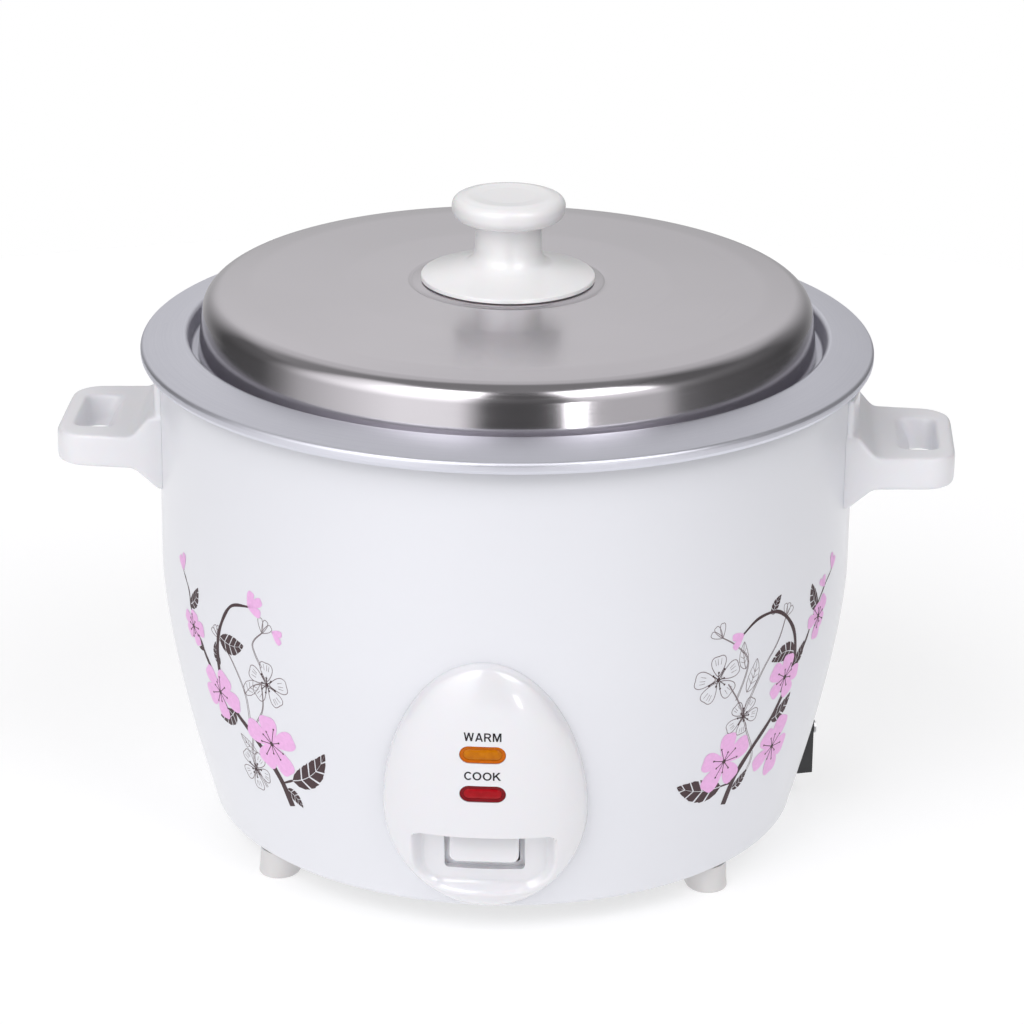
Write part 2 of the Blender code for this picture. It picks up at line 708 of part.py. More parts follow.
def build_heating():
    outline = [
        (PLATE_R, PLATE_Z[1], 2 * MM),
        (PLATE_R, PLATE_Z[0], 1 * MM),
        (PLATE_HOLE_R, PLATE_Z[0], 0),
        (PLATE_HOLE_R, PLATE_Z[1], 0),
    ]
    turned("heating_plate", rounded(outline, 2, True), "cast_aluminium", closed=True)
    start, end = ELEMENT_ENDS[1], ELEMENT_ENDS[0] + math.tau
    arc_steps = 36
    points = []
    for angle in (start, end):
        x = ELEMENT_R * math.cos(angle)
        y = ELEMENT_R * math.sin(angle)
        drop = [(x, y, 36 * MM), (x, y, 46 * MM)]
        if angle == start:
            points += drop
            for step in range(1, arc_steps):
                along = start + (end - start) * step / arc_steps
                points.append((ELEMENT_R * math.cos(along), ELEMENT_R * math.sin(along), ELEMENT_Z))
        else:
            points += reversed(drop)
    tube("heating_element", points, ELEMENT_TUBE_R, "cast_aluminium")
    for index in range(3):
        angle = math.radians(-90 + 120 * index)
        x = SUPPORT_R * math.cos(angle)
        y = SUPPORT_R * math.sin(angle)
        low = LINER_FLOOR + GAP
        high = PLATE_Z[0] - GAP
        cylinder(f"plate_support_{index + 1}", 4 * MM, (x, y, low), (x, y, high), "galvanised_steel", 10)
    cylinder("thermal_fuse", 2.2 * MM, (-8 * MM, 36 * MM, 51 * MM), (8 * MM, 36 * MM, 51 * MM), "ceramic", 10)
    box("keep_warm_resistor", (-46 * MM, -12 * MM, 47 * MM), (-38 * MM, 12 * MM, 54 * MM), "ceramic")


# ---------------------------------------------------------------- sensor, magnet and switch

def build_sensor():
    rise = MAGNET_Z[0] - 5.1 * MM
    cap = [
        (0, PLATE_Z[1], 0),
        (SENSOR_R, PLATE_Z[1], 1.5 * MM),
        (SENSOR_R, 56 * MM, 0),
        (SENSOR_R - 1 * MM, 56 * MM, 0),
        (SENSOR_R - 1 * MM, FERRITE_Z[1] + GAP, 0),
        (0, FERRITE_Z[1] + GAP, 0),
    ]
    turned("sensor_cap", rounded(cap, 2), "satin_aluminium", sides=SMALL_SIDES)
    ring("ferrite_core", 5 * MM, GUIDE_R, *FERRITE_Z, "ferrite")
    guide = [
        (GUIDE_R, 58 * MM),
        (GUIDE_R, rise),
        (26 * MM, rise),
        (26 * MM, rise - 0.9 * MM),
        (3.2 * MM, rise - 0.9 * MM),
        (3.2 * MM, rise),
        (GUIDE_R - 1.2 * MM, rise),
        (GUIDE_R - 1.2 * MM, 58 * MM),
    ]
    turned("sensor_guide", guide, "galvanised_steel", closed=True, sides=SMALL_SIDES)
    coil("sensor_spring", 16.2 * MM, 0.7 * MM, rise + GAP, FERRITE_Z[1], 4, "spring_steel")
    ring("magnet", ROD_R + GAP, MAGNET_R, *MAGNET_Z, "ferrite")
    rod = [
        (0, MAGNET_Z[1]),
        (ROD_R, MAGNET_Z[1]),
        (ROD_R, MAGNET_Z[0] - GAP),
        (4 * MM, MAGNET_Z[0] - GAP),
        (4 * MM, MAGNET_Z[0] - 1.4 * MM),
        (ROD_R, MAGNET_Z[0] - 1.4 * MM),
        (ROD_R, ROD_LOW),
        (0, ROD_LOW),
    ]
    turned("magnet_rod", rod, "spring_steel", sides=SCREW_SIDES)
    coil("magnet_spring", 3.8 * MM, 0.5 * MM, MAGNET_Z[1] + GAP, FERRITE_Z[1], 4, "spring_steel")


def build_switch():
    width = LEVER_HALF_WIDTH
    half = LEVER_THICK / 2
    lever_low = (-width, LEVER_FRONT_Y, PIVOT_Z - half)
    lever = box("switch_lever", lever_low, (width, 6 * MM, PIVOT_Z + half), "galvanised_steel")
    hub = cylinder("lever_hub", 3.6 * MM, (-width, PIVOT_Y, PIVOT_Z), (width, PIVOT_Y, PIVOT_Z))
    boolean(lever, hub, "UNION")
    tab = box("lever_tab", (0, -52 * MM, PIVOT_Z - half), (18 * MM, -46 * MM, PIVOT_Z + half))
    boolean(lever, tab, "UNION")
    pivot = Vector((0, PIVOT_Y, PIVOT_Z))
    across = Vector((1, 0, 0))
    bore = cylinder("lever_bore", PIN_R + GAP, pivot - across * 20 * MM, pivot + across * 20 * MM, sides=12)
    boolean(lever, bore)
    reach = across * PIN_HALF_LENGTH
    cylinder("lever_pivot_pin", PIN_R, pivot - reach, pivot + reach, "spring_steel", 12)
    floor = BASE_PLATE_Z + BASE_PLATE_THICK + GAP
    bracket_high = (14 * MM, -38 * MM, floor + LEVER_THICK)
    bracket = box("lever_bracket", (-10 * MM, -80 * MM, floor), bracket_high, "galvanised_steel")
    ears = (
        box("ear_left", (-9 * MM, -78 * MM, floor), (-7.6 * MM, -62 * MM, 43 * MM)),
        box("ear_right", (7.6 * MM, -78 * MM, floor), (9 * MM, -62 * MM, 43 * MM)),
        box("switch_wing", (11 * MM, -59 * MM, floor), (12.2 * MM, -39 * MM, 35 * MM)),
    )
    for piece in ears:
        boolean(bracket, piece, "UNION")
    boolean(bracket, bore)
    body = box("micro_switch", (12.6 * MM, -59 * MM, 25 * MM), (19 * MM, -39 * MM, 35 * MM), "black_plastic")
    plunger = box("switch_plunger", (14.8 * MM, -50.5 * MM, 34 * MM), (16.8 * MM, -47.5 * MM, 37 * MM))
    boolean(body, plunger, "UNION")
    button = box(
        "cook_button",
        (-BUTTON_HALF_WIDTH, BUTTON_FRONT_Y, BUTTON_Z[0]),
        (BUTTON_HALF_WIDTH, -111 * MM, BUTTON_Z[1]),
        "white_plastic",
        1.2 * MM,
    )
    pocket = box(
        "button_pocket",
        (-width - GAP, LEVER_FRONT_Y - GAP, PIVOT_Z - half - GAP),
        (width + GAP, -105 * MM, PIVOT_Z + half + GAP),
    )
    boolean(button, pocket)


def wire(name, finish, start, route, end):
    """A wire from start to end; the route is a list of points in millimetres."""
    tube(name, [start, *(Vector(point) * MM for point in route), end], WIRE_R, finish)


def build_wires():
    """Inlet to fuse and heater, and inlet to micro switch, run over the base plate."""
    turn = Matrix.Rotation(INLET_ANGLE, 3, "Z")
    live = turn @ Vector((89 * MM, 5 * MM, SOCKET_Z + 2.5 * MM))
    neutral = turn @ Vector((89 * MM, -5 * MM, SOCKET_Z + 2.5 * MM))
    right_end = ELEMENT_R * Vector((math.cos(ELEMENT_ENDS[0]), math.sin(ELEMENT_ENDS[0]), 0))
    left_end = ELEMENT_R * Vector((math.cos(ELEMENT_ENDS[1]), math.sin(ELEMENT_ENDS[1]), 0))
    switch = Vector((16, -38, 29)) * MM
    wire("wire_live", "red_wire", live, [(71, 40, 30), (50, 40, 24), (24, 50, 26)], right_end + TERMINAL_TIP)
    wire(
        "wire_neutral",
        "blue_wire",
        neutral,
        [(73, 28, 30), (46, 0, 22), (30, -30, 22), (26, -49, 29)],
        Vector((20, -49, 30)) * MM,
    )
    heater_route = [(16, -30, 24), (8, 10, 20), (-18, 46, 24)]
    wire("wire_heater", "blue_wire", switch, heater_route, left_end + TERMINAL_TIP)


# ---------------------------------------------------------------- pot, lid and knob

def build_pot():
    outline = [
        (134.6 * MM, 185 * MM, 0),
        (POT_FLANGE_R, 189.0 * MM, 1.2 * MM),
        (POT_WELL_R + 0.6 * MM, 193.2 * MM, 1.6 * MM),
        (POT_WELL_R - 0.6 * MM, POT_WELL_FLOOR, 1.0 * MM),
        (POT_WALL_R + 0.4 * MM, POT_WELL_FLOOR, 1.2 * MM),
        (POT_WALL_R - 2 * MM, POT_FLOOR, 14 * MM),
        (0, POT_FLOOR, 0),
    ]
    turned_shell("inner_pot", rounded(outline, 2), POT_SKIN, "satin_aluminium", 1)


def build_lid():
    outline = [
        (3.2 * MM, LID_TOP, 0),
        (34.4 * MM, LID_TOP, 0),
        (36.6 * MM, LID_TOP - 1.6 * MM, 0),
        (39.5 * MM, LID_TOP - 0.8 * MM, 0),
        (75 * MM, LID_TOP - 1.2 * MM, 0),
        (LID_SHOULDER_R, LID_TOP - 4.0 * MM, LID_SHOULDER_ROUND),
        (LID_HEM_R, POT_WELL_FLOOR + 0.5 * MM, 0),
    ]
    turned_shell("lid", rounded(outline, 4), LID_SKIN, "polished_steel", -1)
    knob = [
        (0, KNOB_TOP, 0),
        (KNOB_CAP_R, KNOB_TOP, 4.6 * MM),
        (KNOB_CAP_R, KNOB_TOP - 9.4 * MM, 3.6 * MM),
        (KNOB_STEM_R, KNOB_TOP - 9.6 * MM, 1.2 * MM),
        (KNOB_STEM_R, 220.4 * MM, 5 * MM),
        (KNOB_BASE_R, 213.8 * MM, 0),
        (KNOB_BASE_R, LID_TOP + GAP, 0),
        (2.5 * MM, LID_TOP + GAP, 0),
        (2.5 * MM, 228 * MM, 0),
        (0, 228 * MM, 0),
    ]
    turned("lid_knob", rounded(knob, 3), "white_plastic", sides=28)
    under = LID_TOP - LID_SKIN - GAP
    ring("knob_washer", 2.5 * MM, 9 * MM, under - 0.8 * MM, under, "galvanised_steel")
    seat = under - 0.8 * MM - GAP
    screw("knob_screw", 4.5 * MM, 2.0 * MM, seat - 2.6 * MM, seat, 227 * MM)


build_outer_body()
build_base()
build_handles()
build_panel()
build_inlet()
build_liner()
build_heating()
build_sensor()
build_switch()
build_wires()
build_pot()
build_lid()
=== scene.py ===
"""Drum rice cooker: the visual model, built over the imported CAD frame.

Metres, +Z up. The feet stand on Z = 0, the cooker's axis is the Z axis and the panel faces -Y.
"""

import math

import bmesh
import bpy
from mathutils import Matrix, Vector


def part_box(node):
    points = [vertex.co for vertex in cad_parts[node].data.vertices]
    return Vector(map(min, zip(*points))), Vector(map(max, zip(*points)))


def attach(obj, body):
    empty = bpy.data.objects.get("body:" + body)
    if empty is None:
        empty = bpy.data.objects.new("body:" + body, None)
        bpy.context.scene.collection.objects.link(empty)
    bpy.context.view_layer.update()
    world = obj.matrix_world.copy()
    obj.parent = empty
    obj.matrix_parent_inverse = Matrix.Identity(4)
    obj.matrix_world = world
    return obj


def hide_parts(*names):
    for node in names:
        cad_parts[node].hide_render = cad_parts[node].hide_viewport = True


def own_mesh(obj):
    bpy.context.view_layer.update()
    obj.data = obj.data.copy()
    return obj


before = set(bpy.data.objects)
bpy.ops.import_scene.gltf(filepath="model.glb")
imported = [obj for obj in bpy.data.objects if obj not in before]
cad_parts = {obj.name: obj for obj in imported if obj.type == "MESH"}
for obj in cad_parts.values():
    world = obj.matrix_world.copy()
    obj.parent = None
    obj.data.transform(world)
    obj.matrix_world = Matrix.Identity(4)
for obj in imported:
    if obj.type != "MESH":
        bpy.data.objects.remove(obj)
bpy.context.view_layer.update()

MM = 0.001
ROUND = 256                 # sides of the large turned pieces
SMALL_ROUND = 96            # sides of the small ones
ON_AXIS = 1e-7              # nearer the axis than this, a turned outline closes in one point


# ---------------------------------------------------------------- sizes from the frame

def across(node):
    """Outer radius of a turned CAD node."""
    low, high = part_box(node)
    return (high.x - low.x) / 2


BODY_LOW, BODY_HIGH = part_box("outer_body")
BODY_R = across("outer_body")
BODY_SKIN = 0.8 * MM
TAPER_START = 105.0 * MM
TAPER_DEPTH = 18.7 * MM
TAPER_END = 10.8 * MM
TAPER_POWER = 1.48

POT_R = across("inner_pot")
POT_SKIN = 1.5 * MM
WELL_R = 117.0 * MM
WELL_FLOOR = 186.2 * MM
POT_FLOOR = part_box("inner_pot")[0].z + POT_SKIN

LID_LOW, LID_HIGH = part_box("lid")
LID_TOP = LID_HIGH.z
LID_HEM_R = across("lid")
LID_SKIN = 0.8 * MM
KNOB_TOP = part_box("lid_knob")[1].z
KNOB_CAP_R = 20.8 * MM
KNOB_FOOT_R = across("lid_knob")

PANEL_HALF_WIDTH = 36.3 * MM
PANEL_CENTRE_Z = 53.5 * MM
PANEL_UP = 60.0 * MM
PANEL_DOWN = 41.5 * MM
PANEL_RIM = 1.2 * MM        # how far its edge stands off the body
PANEL_FOOT = 0.2 * MM       # where the round of the edge starts
PANEL_EDGE = 0.02           # share of the reach that the round takes up
PANEL_BULGE = 9.85 * MM     # how far its middle stands off the body
SLOT_HALF_WIDTH = 14.3 * MM
SLOT_Z = (29.0 * MM, 46.5 * MM)

INLET_ANGLE = math.radians(17)


# ---------------------------------------------------------------- material nodes

class Nodes:
    """A node tree with helpers that make its nodes and fill their sockets."""

    def __init__(self, tree):
        self.tree = tree

    def node(self, kind, inputs=(), **settings):
        """A new node; inputs pairs a socket's name or number with a value or another node's output."""
        made = self.tree.nodes.new(kind)
        for key, value in settings.items():
            setattr(made, key, value)
        for socket, value in dict(inputs).items():
            self.feed(made.inputs[socket], value)
        return made

    def feed(self, socket, value):
        if isinstance(value, bpy.types.NodeSocket):
            self.tree.links.new(value, socket)
        elif value is not None:
            socket.default_value = value

    def math(self, operation, *values):
        return self.node("ShaderNodeMath", enumerate(values), operation=operation).outputs[0]

    def remap(self, value, low, high, to_low=0.0, to_high=1.0, **settings):
        inputs = {"Value": value, "From Min": low, "From Max": high, "To Min": to_low, "To Max": to_high}
        return self.node("ShaderNodeMapRange", inputs, **settings).outputs[0]


class Shader(Nodes):
    """A Principled material with helpers that wire procedural detail into it."""

    def __init__(self, name, colour, roughness, sockets=()):
        self.material = bpy.data.materials.new(name)
        self.material.use_nodes = True
        super().__init__(self.material.node_tree)
        self.bsdf = self.tree.nodes["Principled BSDF"]
        self.colour = (*colour, 1.0)
        self.roughness = roughness
        self.set("Base Color", self.colour)
        self.set("Roughness", roughness)
        for socket, value in dict(sockets).items():
            self.set(socket, value)
        self.place = self.node("ShaderNodeTexCoord").outputs["Object"]
        self.relief = None

    def set(self, socket, value):
        self.feed(self.bsdf.inputs[socket], value)

    def noise(self, scale, detail=2.0, rough=0.5, where=None):
        inputs = {"Scale": scale, "Detail": detail, "Roughness": rough, "Vector": where or self.place}
        return self.node("ShaderNodeTexNoise", inputs).outputs["Fac"]

    def polar(self):
        """Radius from the cooker's axis, angle round it, and height."""
        x, y, z = self.node("ShaderNodeSeparateXYZ", {0: self.place}).outputs
        squares = self.math("MULTIPLY", x, x), self.math("MULTIPLY", y, y)
        return self.math("SQRT", self.math("ADD", *squares)), self.math("ARCTAN2", y, x), z

    def vary_roughness(self, value, amount):
        """Roughness moves by amount either way with a 0 to 1 pattern."""
        low = max(0.02, self.roughness - amount)
        self.set("Roughness", self.remap(value, 0.3, 0.7, low, self.roughness + amount))

    def vary_colour(self, value, other, low=0.3, high=0.7):
        """Colour moves toward another one as the pattern rises from low to high."""
        inputs = {"A": self.colour, "B": (*other, 1.0), "Factor": self.remap(value, low, high)}
        self.set("Base Color", self.node("ShaderNodeMix", inputs, data_type="RGBA").outputs["Result"])

    def bump(self, value, distance, strength=1.0):
        """Adds a layer of relief, distance high in metres."""
        inputs = {"Strength": strength, "Distance": distance, "Height": value, "Normal": self.relief}
        self.relief = self.node("ShaderNodeBump", inputs).outputs["Normal"]
        self.set("Normal", self.relief)


def enamel():
    """Baked white paint: faint orange peel under a clear gloss, a trace of tone change."""
    made = Shader("enamel", (0.712, 0.72, 0.76), 0.33, {"Coat Weight": 0.4, "Coat Roughness": 0.08})
    made.vary_roughness(made.noise(12), 0.03)
    made.bump(made.noise(420), 0.00001, 0.3)
    made.vary_colour(made.noise(7), (0.70, 0.708, 0.748), 0.2, 0.8)
    return made.material


def white_plastic(name, colour=(0.74, 0.74, 0.775), roughness=0.34, grain=1500, coat=0.25):
    """Glossy moulded plastic: fine grain, soft waviness and a trace of yellowing."""
    depth = {"Subsurface Weight": 0.08, "Subsurface Scale": 0.002}
    made = Shader(name, colour, roughness, {**depth, "Coat Weight": coat, "Coat Roughness": 0.055})
    made.vary_roughness(made.noise(18), 0.03)
    made.bump(made.noise(grain), 0.000006, 0.4)
    yellower = (colour[0] * 0.99, colour[1] * 0.985, colour[2] * 0.97)
    made.vary_colour(made.noise(11), yellower, 0.2, 0.8)
    return made.material


def black_plastic():
    made = Shader("black_plastic", (0.018, 0.018, 0.020), 0.42)
    made.vary_roughness(made.noise(120, 3), 0.08)
    made.bump(made.noise(2600), 0.00002, 0.6)
    made.vary_colour(made.noise(35, 5, 0.6), (0.045, 0.044, 0.043), 0.55, 0.85)
    return made.material


def turned_metal(name, colour, roughness, line_scale, line_depth, duller_middle=0.0):
    """Metal with fine rings round the cooker's axis, a fine grain and slow changes of tone."""
    made = Shader(name, colour, roughness, {"Metallic": 1.0})
    radius, angle, z = made.polar()
    along = made.math("MULTIPLY", made.math("ADD", radius, z), line_scale)
    around = made.math("MULTIPLY", angle, 1.4)
    rings = made.node("ShaderNodeCombineXYZ", {0: along, 1: around}).outputs[0]
    lines = made.noise(1.0, 4, 0.7, rings)
    duller = made.remap(radius, 0.095, 0.109, duller_middle, 0.0)
    varied = made.remap(lines, 0.3, 0.7, roughness * 0.8, roughness * 1.2)
    made.set("Roughness", made.math("ADD", varied, duller))
    made.bump(lines, line_depth, 0.6)
    made.bump(made.noise(900, 3), line_depth * 0.6, 0.3)
    darker = tuple(c * 0.95 for c in colour)
    made.vary_colour(made.noise(14, 3), darker, 0.25, 0.8)
    return made.material


def plain_metal(name, colour, roughness, grain=300):
    """Plated or cast metal with an even, slightly mottled grain."""
    made = Shader(name, colour, roughness, {"Metallic": 1.0})
    made.vary_roughness(made.noise(grain, 4), roughness * 0.3)
    made.bump(made.noise(grain * 3, 3), 0.00003, 0.5)
    made.vary_colour(made.noise(45, 5, 0.65), tuple(c * 0.75 for c in colour), 0.4, 0.85)
    return made.material


def lens_plastic(name, colour, deep):
    """Tinted clear plastic over a ribbed reflector."""
    sockets = {"Specular IOR Level": 0.12, "Coat Weight": 0.06, "Coat Roughness": 0.05}
    made = Shader(name, colour, 0.2, sockets)
    made.vary_colour(made.noise(420, 3), deep, 0.35, 0.75)
    made.bump(made.noise(500, 2), 0.00004, 0.3)
    made.vary_roughness(made.noise(200, 2), 0.05)
    return made.material


def print_ink(name, colour):
    """Screen-printed ink: slight mottling and a softer gloss than the paint."""
    made = Shader(name, colour, 0.5, {"Specular IOR Level": 0.25})
    made.vary_colour(made.noise(700, 3), tuple(min(1.0, c * 1.1 + 0.004) for c in colour), 0.35, 0.75)
    made.vary_roughness(made.noise(300, 2), 0.05)
    return made.material


MATERIALS = {
    "enamel": enamel(),
    "moulding": white_plastic("moulding"),
    "bezel": white_plastic("bezel_plastic", (0.725, 0.725, 0.76), 0.22, 1800, 0.75),
    "knob": white_plastic("knob_plastic", (0.84, 0.84, 0.855), 0.21),
    "foot": white_plastic("foot_plastic", (0.61, 0.60, 0.605), 0.45, 900),
    "black": black_plastic(),
    "lid": turned_metal("polished_steel", (0.55, 0.53, 0.555), 0.15, 2600, 0.000003, duller_middle=0.08),
    "pot": turned_metal("satin_aluminium", (0.72, 0.725, 0.79), 0.45, 1900, 0.000003),
    "liner": turned_metal("galvanised_steel", (0.50, 0.505, 0.51), 0.36, 900, 0.00001),
    "heater": turned_metal("cast_aluminium", (0.55, 0.55, 0.56), 0.42, 1300, 0.00003),
    "sensor": turned_metal("sensor_aluminium", (0.66, 0.66, 0.67), 0.36, 2200, 0.00001),
    "plated": plain_metal("plated_steel", (0.48, 0.48, 0.49), 0.32),
    "sheet": plain_metal("zinc_sheet", (0.50, 0.51, 0.52), 0.38, 120),
    "brass": plain_metal("brass", (0.62, 0.46, 0.22), 0.3),
    "ferrite": plain_metal("ferrite", (0.07, 0.07, 0.075), 0.6),
    "amber": lens_plastic("amber_lens", (0.52, 0.12, 0.001), (0.42, 0.085, 0.0)),
    "red": lens_plastic("red_lens", (0.20, 0.004, 0.010), (0.14, 0.002, 0.005)),
    "pink_ink": print_ink("pink_ink", (0.74, 0.41, 0.69)),
    "dark_ink": print_ink("dark_ink", (0.055, 0.030, 0.034)),
    "grey_ink": print_ink("grey_ink", (0.20, 0.16, 0.17)),
    "label_ink": print_ink("label_ink", (0.018, 0.015, 0.018)),
    "ceramic": white_plastic("ceramic", (0.74, 0.70, 0.62), 0.6, 700),
    "glass": white_plastic("lamp_glass", (0.75, 0.70, 0.66), 0.12, 300),
    "red_wire": white_plastic("red_insulation", (0.42, 0.02, 0.02), 0.4, 800),
    "blue_wire": white_plastic("blue_insulation", (0.03, 0.07, 0.32), 0.4, 800),
    # amber_core and red_core are lighter copies of the lens colours for the raised windows: painted light
    # through the lens, against painted shade in the darker margins
    "amber_core": lens_plastic("amber_core", (0.50, 0.16, 0.001), (0.41, 0.115, 0.0)),
    "red_core": lens_plastic("red_core", (0.36, 0.004, 0.010), (0.27, 0.002, 0.006)),
}


# ---------------------------------------------------------------- shape helpers

def rounded(corners, arc_steps=8, closed=False):
    """Corners (across, up, fillet radius) as a line of points, with each fillet as an arc."""
    points = []
    count = len(corners)
    for index, (x, z, radius) in enumerate(corners):
        here = Vector((x, z))
        if radius == 0 or (not closed and index in (0, count - 1)):
            points.append(here)
            continue
        back = (Vector(corners[index - 1][:2]) - here).normalized()
        ahead = (Vector(corners[(index + 1) % count][:2]) - here).normalized()
        half = back.angle(ahead) / 2
        centre = here + (back + ahead).normalized() * (radius / math.sin(half))
        start = here + back * (radius / math.tan(half)) - centre
        end = here + ahead * (radius / math.tan(half)) - centre
        turn = start.angle_signed(end)
        for step in range(arc_steps + 1):
            points.append(centre + Matrix.Rotation(-turn * step / arc_steps, 2) @ start)
    return points


def add_piece(name, data, body, finish, replaces=()):
    """Link a mesh or curve as a piece that rides on a CAD body."""
    obj = bpy.data.objects.new(name, data)
    bpy.context.scene.collection.objects.link(obj)
    if finish:
        data.materials.append(MATERIALS[finish])
    if body:
        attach(obj, body)
    if replaces:
        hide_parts(*replaces)
    return obj


def smooth(obj, angle=35):
    obj.data.shade_smooth()
    obj.data.set_sharp_from_angle(angle=math.radians(angle))


def mesh_of(name, verts, faces):
    mesh = bpy.data.meshes.new(name)
    mesh.from_pydata([tuple(v) for v in verts], [], faces)
    return mesh


def circle(radius, sides):
    angles = [math.tau * step / sides for step in range(sides)]
    return [(radius * math.cos(angle), radius * math.sin(angle)) for angle in angles]


def turned(name, outline, body, finish, replaces=(), closed=False, sides=ROUND):
    """A solid turned about Z from an outline that runs down its outer side."""
    verts = []
    rows = []
    for x, z in outline:
        ring = [(0, 0)] if x < ON_AXIS else circle(x, sides)
        rows.append(range(len(verts), len(verts) + len(ring)))
        verts += [(across, deep, z) for across, deep in ring]
    pairs = list(zip(rows, rows[1:]))
    if closed:
        pairs.append((rows[-1], rows[0]))
    faces = []
    for upper, lower in pairs:
        for step in range(sides):
            after = (step + 1) % sides
            corners = [upper[step % len(upper)], lower[step % len(lower)]]
            if len(lower) > 1:
                corners.append(lower[after])
            if len(upper) > 1:
                corners.append(upper[after])
            if len(corners) > 2:
                faces.append(corners)
    obj = add_piece(name, mesh_of(name, verts, faces), body, finish, replaces)
    smooth(obj)
    return obj


def sheet_outline(points, thickness):
    """A closed outline: the given line, and a copy of it moved to its right by the sheet's thickness."""
    moved = []
    for index, here in enumerate(points):
        before = points[max(0, index - 1)]
        after = points[min(len(points) - 1, index + 1)]
        along = (after - before).normalized()
        moved.append(here + Vector((along.y, -along.x)) * thickness)
    return list(points) + moved[::-1]


def prism(name, outline, low, high):
    """An outline in XY run from low to high along Z."""
    return loft(name, [[(x, y, z) for x, y in outline] for z in (low, high)])


def loft(name, rings, finish=None, body=None, replaces=(), cap=True):
    """A closed body through rings of equal count, each a loop of points."""
    count = len(rings[0])
    verts = [point for ring in rings for point in ring]
    faces = []
    for level in range(len(rings) - 1):
        for index in range(count):
            after = (index + 1) % count
            low = level * count
            high = low + count
            faces.append((low + index, low + after, high + after, high + index))
    if cap:
        faces.append(tuple(reversed(range(count))))
        faces.append(tuple(range(len(verts) - count, len(verts))))
    obj = add_piece(name, mesh_of(name, verts, faces), body, finish, replaces)
    face_out(obj)
    return obj


def block(name, low, high):
    """A box between two corners in millimetres."""
    low, high = Vector(low) * MM, Vector(high) * MM
    outline = [(low.x, low.y), (high.x, low.y), (high.x, high.y), (low.x, high.y)]
    return prism(name, outline, low.z, high.z)


def rounded_box(low, high, radius, arc_steps=8, top_radius=None):
    """A rectangle's outline from its lower left corner round, with rounded corners."""
    (left, bottom), (right, top) = low, high
    above = radius if top_radius is None else top_radius
    corners = [(left, bottom, radius), (right, bottom, radius), (right, top, above), (left, top, above)]
    return rounded(corners, arc_steps, True)


def face_out(obj):
    bm = bmesh.new()
    bm.from_mesh(obj.data)
    bmesh.ops.recalc_face_normals(bm, faces=bm.faces)
    bm.to_mesh(obj.data)
    bm.free()


def combine(target, tools, operation="DIFFERENCE"):
    """Cut or join the tools into the target for good, and remove them."""
    face_out(target)
    for tool in tools:
        face_out(tool)
        step = target.modifiers.new("combine", "BOOLEAN")
        step.operation = operation
        step.solver = "EXACT"
        step.object = tool
    bake_modifiers(target)
    for tool in tools:
        bpy.data.objects.remove(tool)


def mesh_from(obj):
    """The object's mesh as it shows, with its modifiers applied."""
    bpy.context.view_layer.update()
    evaluated = obj.evaluated_get(bpy.context.evaluated_depsgraph_get())
    return bpy.data.meshes.new_from_object(evaluated)


def bake_modifiers(obj):
    mesh = mesh_from(obj)
    obj.modifiers.clear()
    obj.data = mesh


def blend_step(value, start, end):
    """0 before start, 1 after end, with a smooth rise between."""
    t = min(1.0, max(0.0, (value - start) / (end - start)))
    return t * t * (3 - 2 * t)


# ---------------------------------------------------------------- outer body

def body_radius(z):
    if z >= TAPER_START:
        return BODY_R
    return BODY_R - TAPER_DEPTH * ((TAPER_START - z) / (TAPER_START - TAPER_END)) ** TAPER_POWER


def on_body(angle, z, lift):
    """A point lifted off the body's surface; angle 0 is the front, positive toward +X."""
    r = body_radius(z) + lift
    return Vector((r * math.sin(angle), -r * math.cos(angle), z))


def build_outer_body():
    side_low = 13.4 * MM
    steps = 48
    heights = [TAPER_START - (TAPER_START - side_low) * step / steps for step in range(steps + 1)]
    side = [(body_radius(z), z, 0) for z in heights]
    lip_r = 103 * MM
    corners = [
        (122 * MM, BODY_HIGH.z, 0),
        (BODY_R, BODY_HIGH.z, 3 * MM),
        (BODY_R, 160 * MM, 0),
        (BODY_R, 130 * MM, 0),
        *side,
        (body_radius(TAPER_END) + 0.3 * MM, BODY_LOW.z, 2.6 * MM),
        (lip_r, BODY_LOW.z, 0),
    ]
    skin = sheet_outline(rounded(corners), BODY_SKIN)
    shell = turned("body_shell", skin, "base", "enamel", ["outer_body"], closed=True)
    window = block("window", (-22, -140, 25), (22, -100, 100))
    socket = block("socket", (95, -20.4, 12.2), (135, 20.4, 43.6))
    socket.data.transform(Matrix.Rotation(INLET_ANGLE, 4, "Z"))
    combine(shell, [window, socket])
    smooth(shell)


# ---------------------------------------------------------------- pot, lid and knob

def build_pot():
    corners = [
        (POT_R - 0.7 * MM, 185.0 * MM, 0),
        (POT_R, 186.2 * MM, 0.8 * MM),
        (POT_R, 189.0 * MM, 1.6 * MM),
        (126.5 * MM, 191.2 * MM, 0),
        (WELL_R + 0.6 * MM, 193.3 * MM, 1.8 * MM),
        (WELL_R - 0.6 * MM, WELL_FLOOR, 1.2 * MM),
        (110.9 * MM, WELL_FLOOR, 1.4 * MM),
        (108.5 * MM, POT_FLOOR, 14 * MM),
        (60 * MM, POT_FLOOR, 0),
        (0, POT_FLOOR, 0),
    ]
    line = rounded(corners, 10)
    outer = sheet_outline(line, -POT_SKIN)
    half = len(line)
    outer[half].x = 0
    pot = turned("pot", outer[::-1], "pot", "pot", ["inner_pot"])


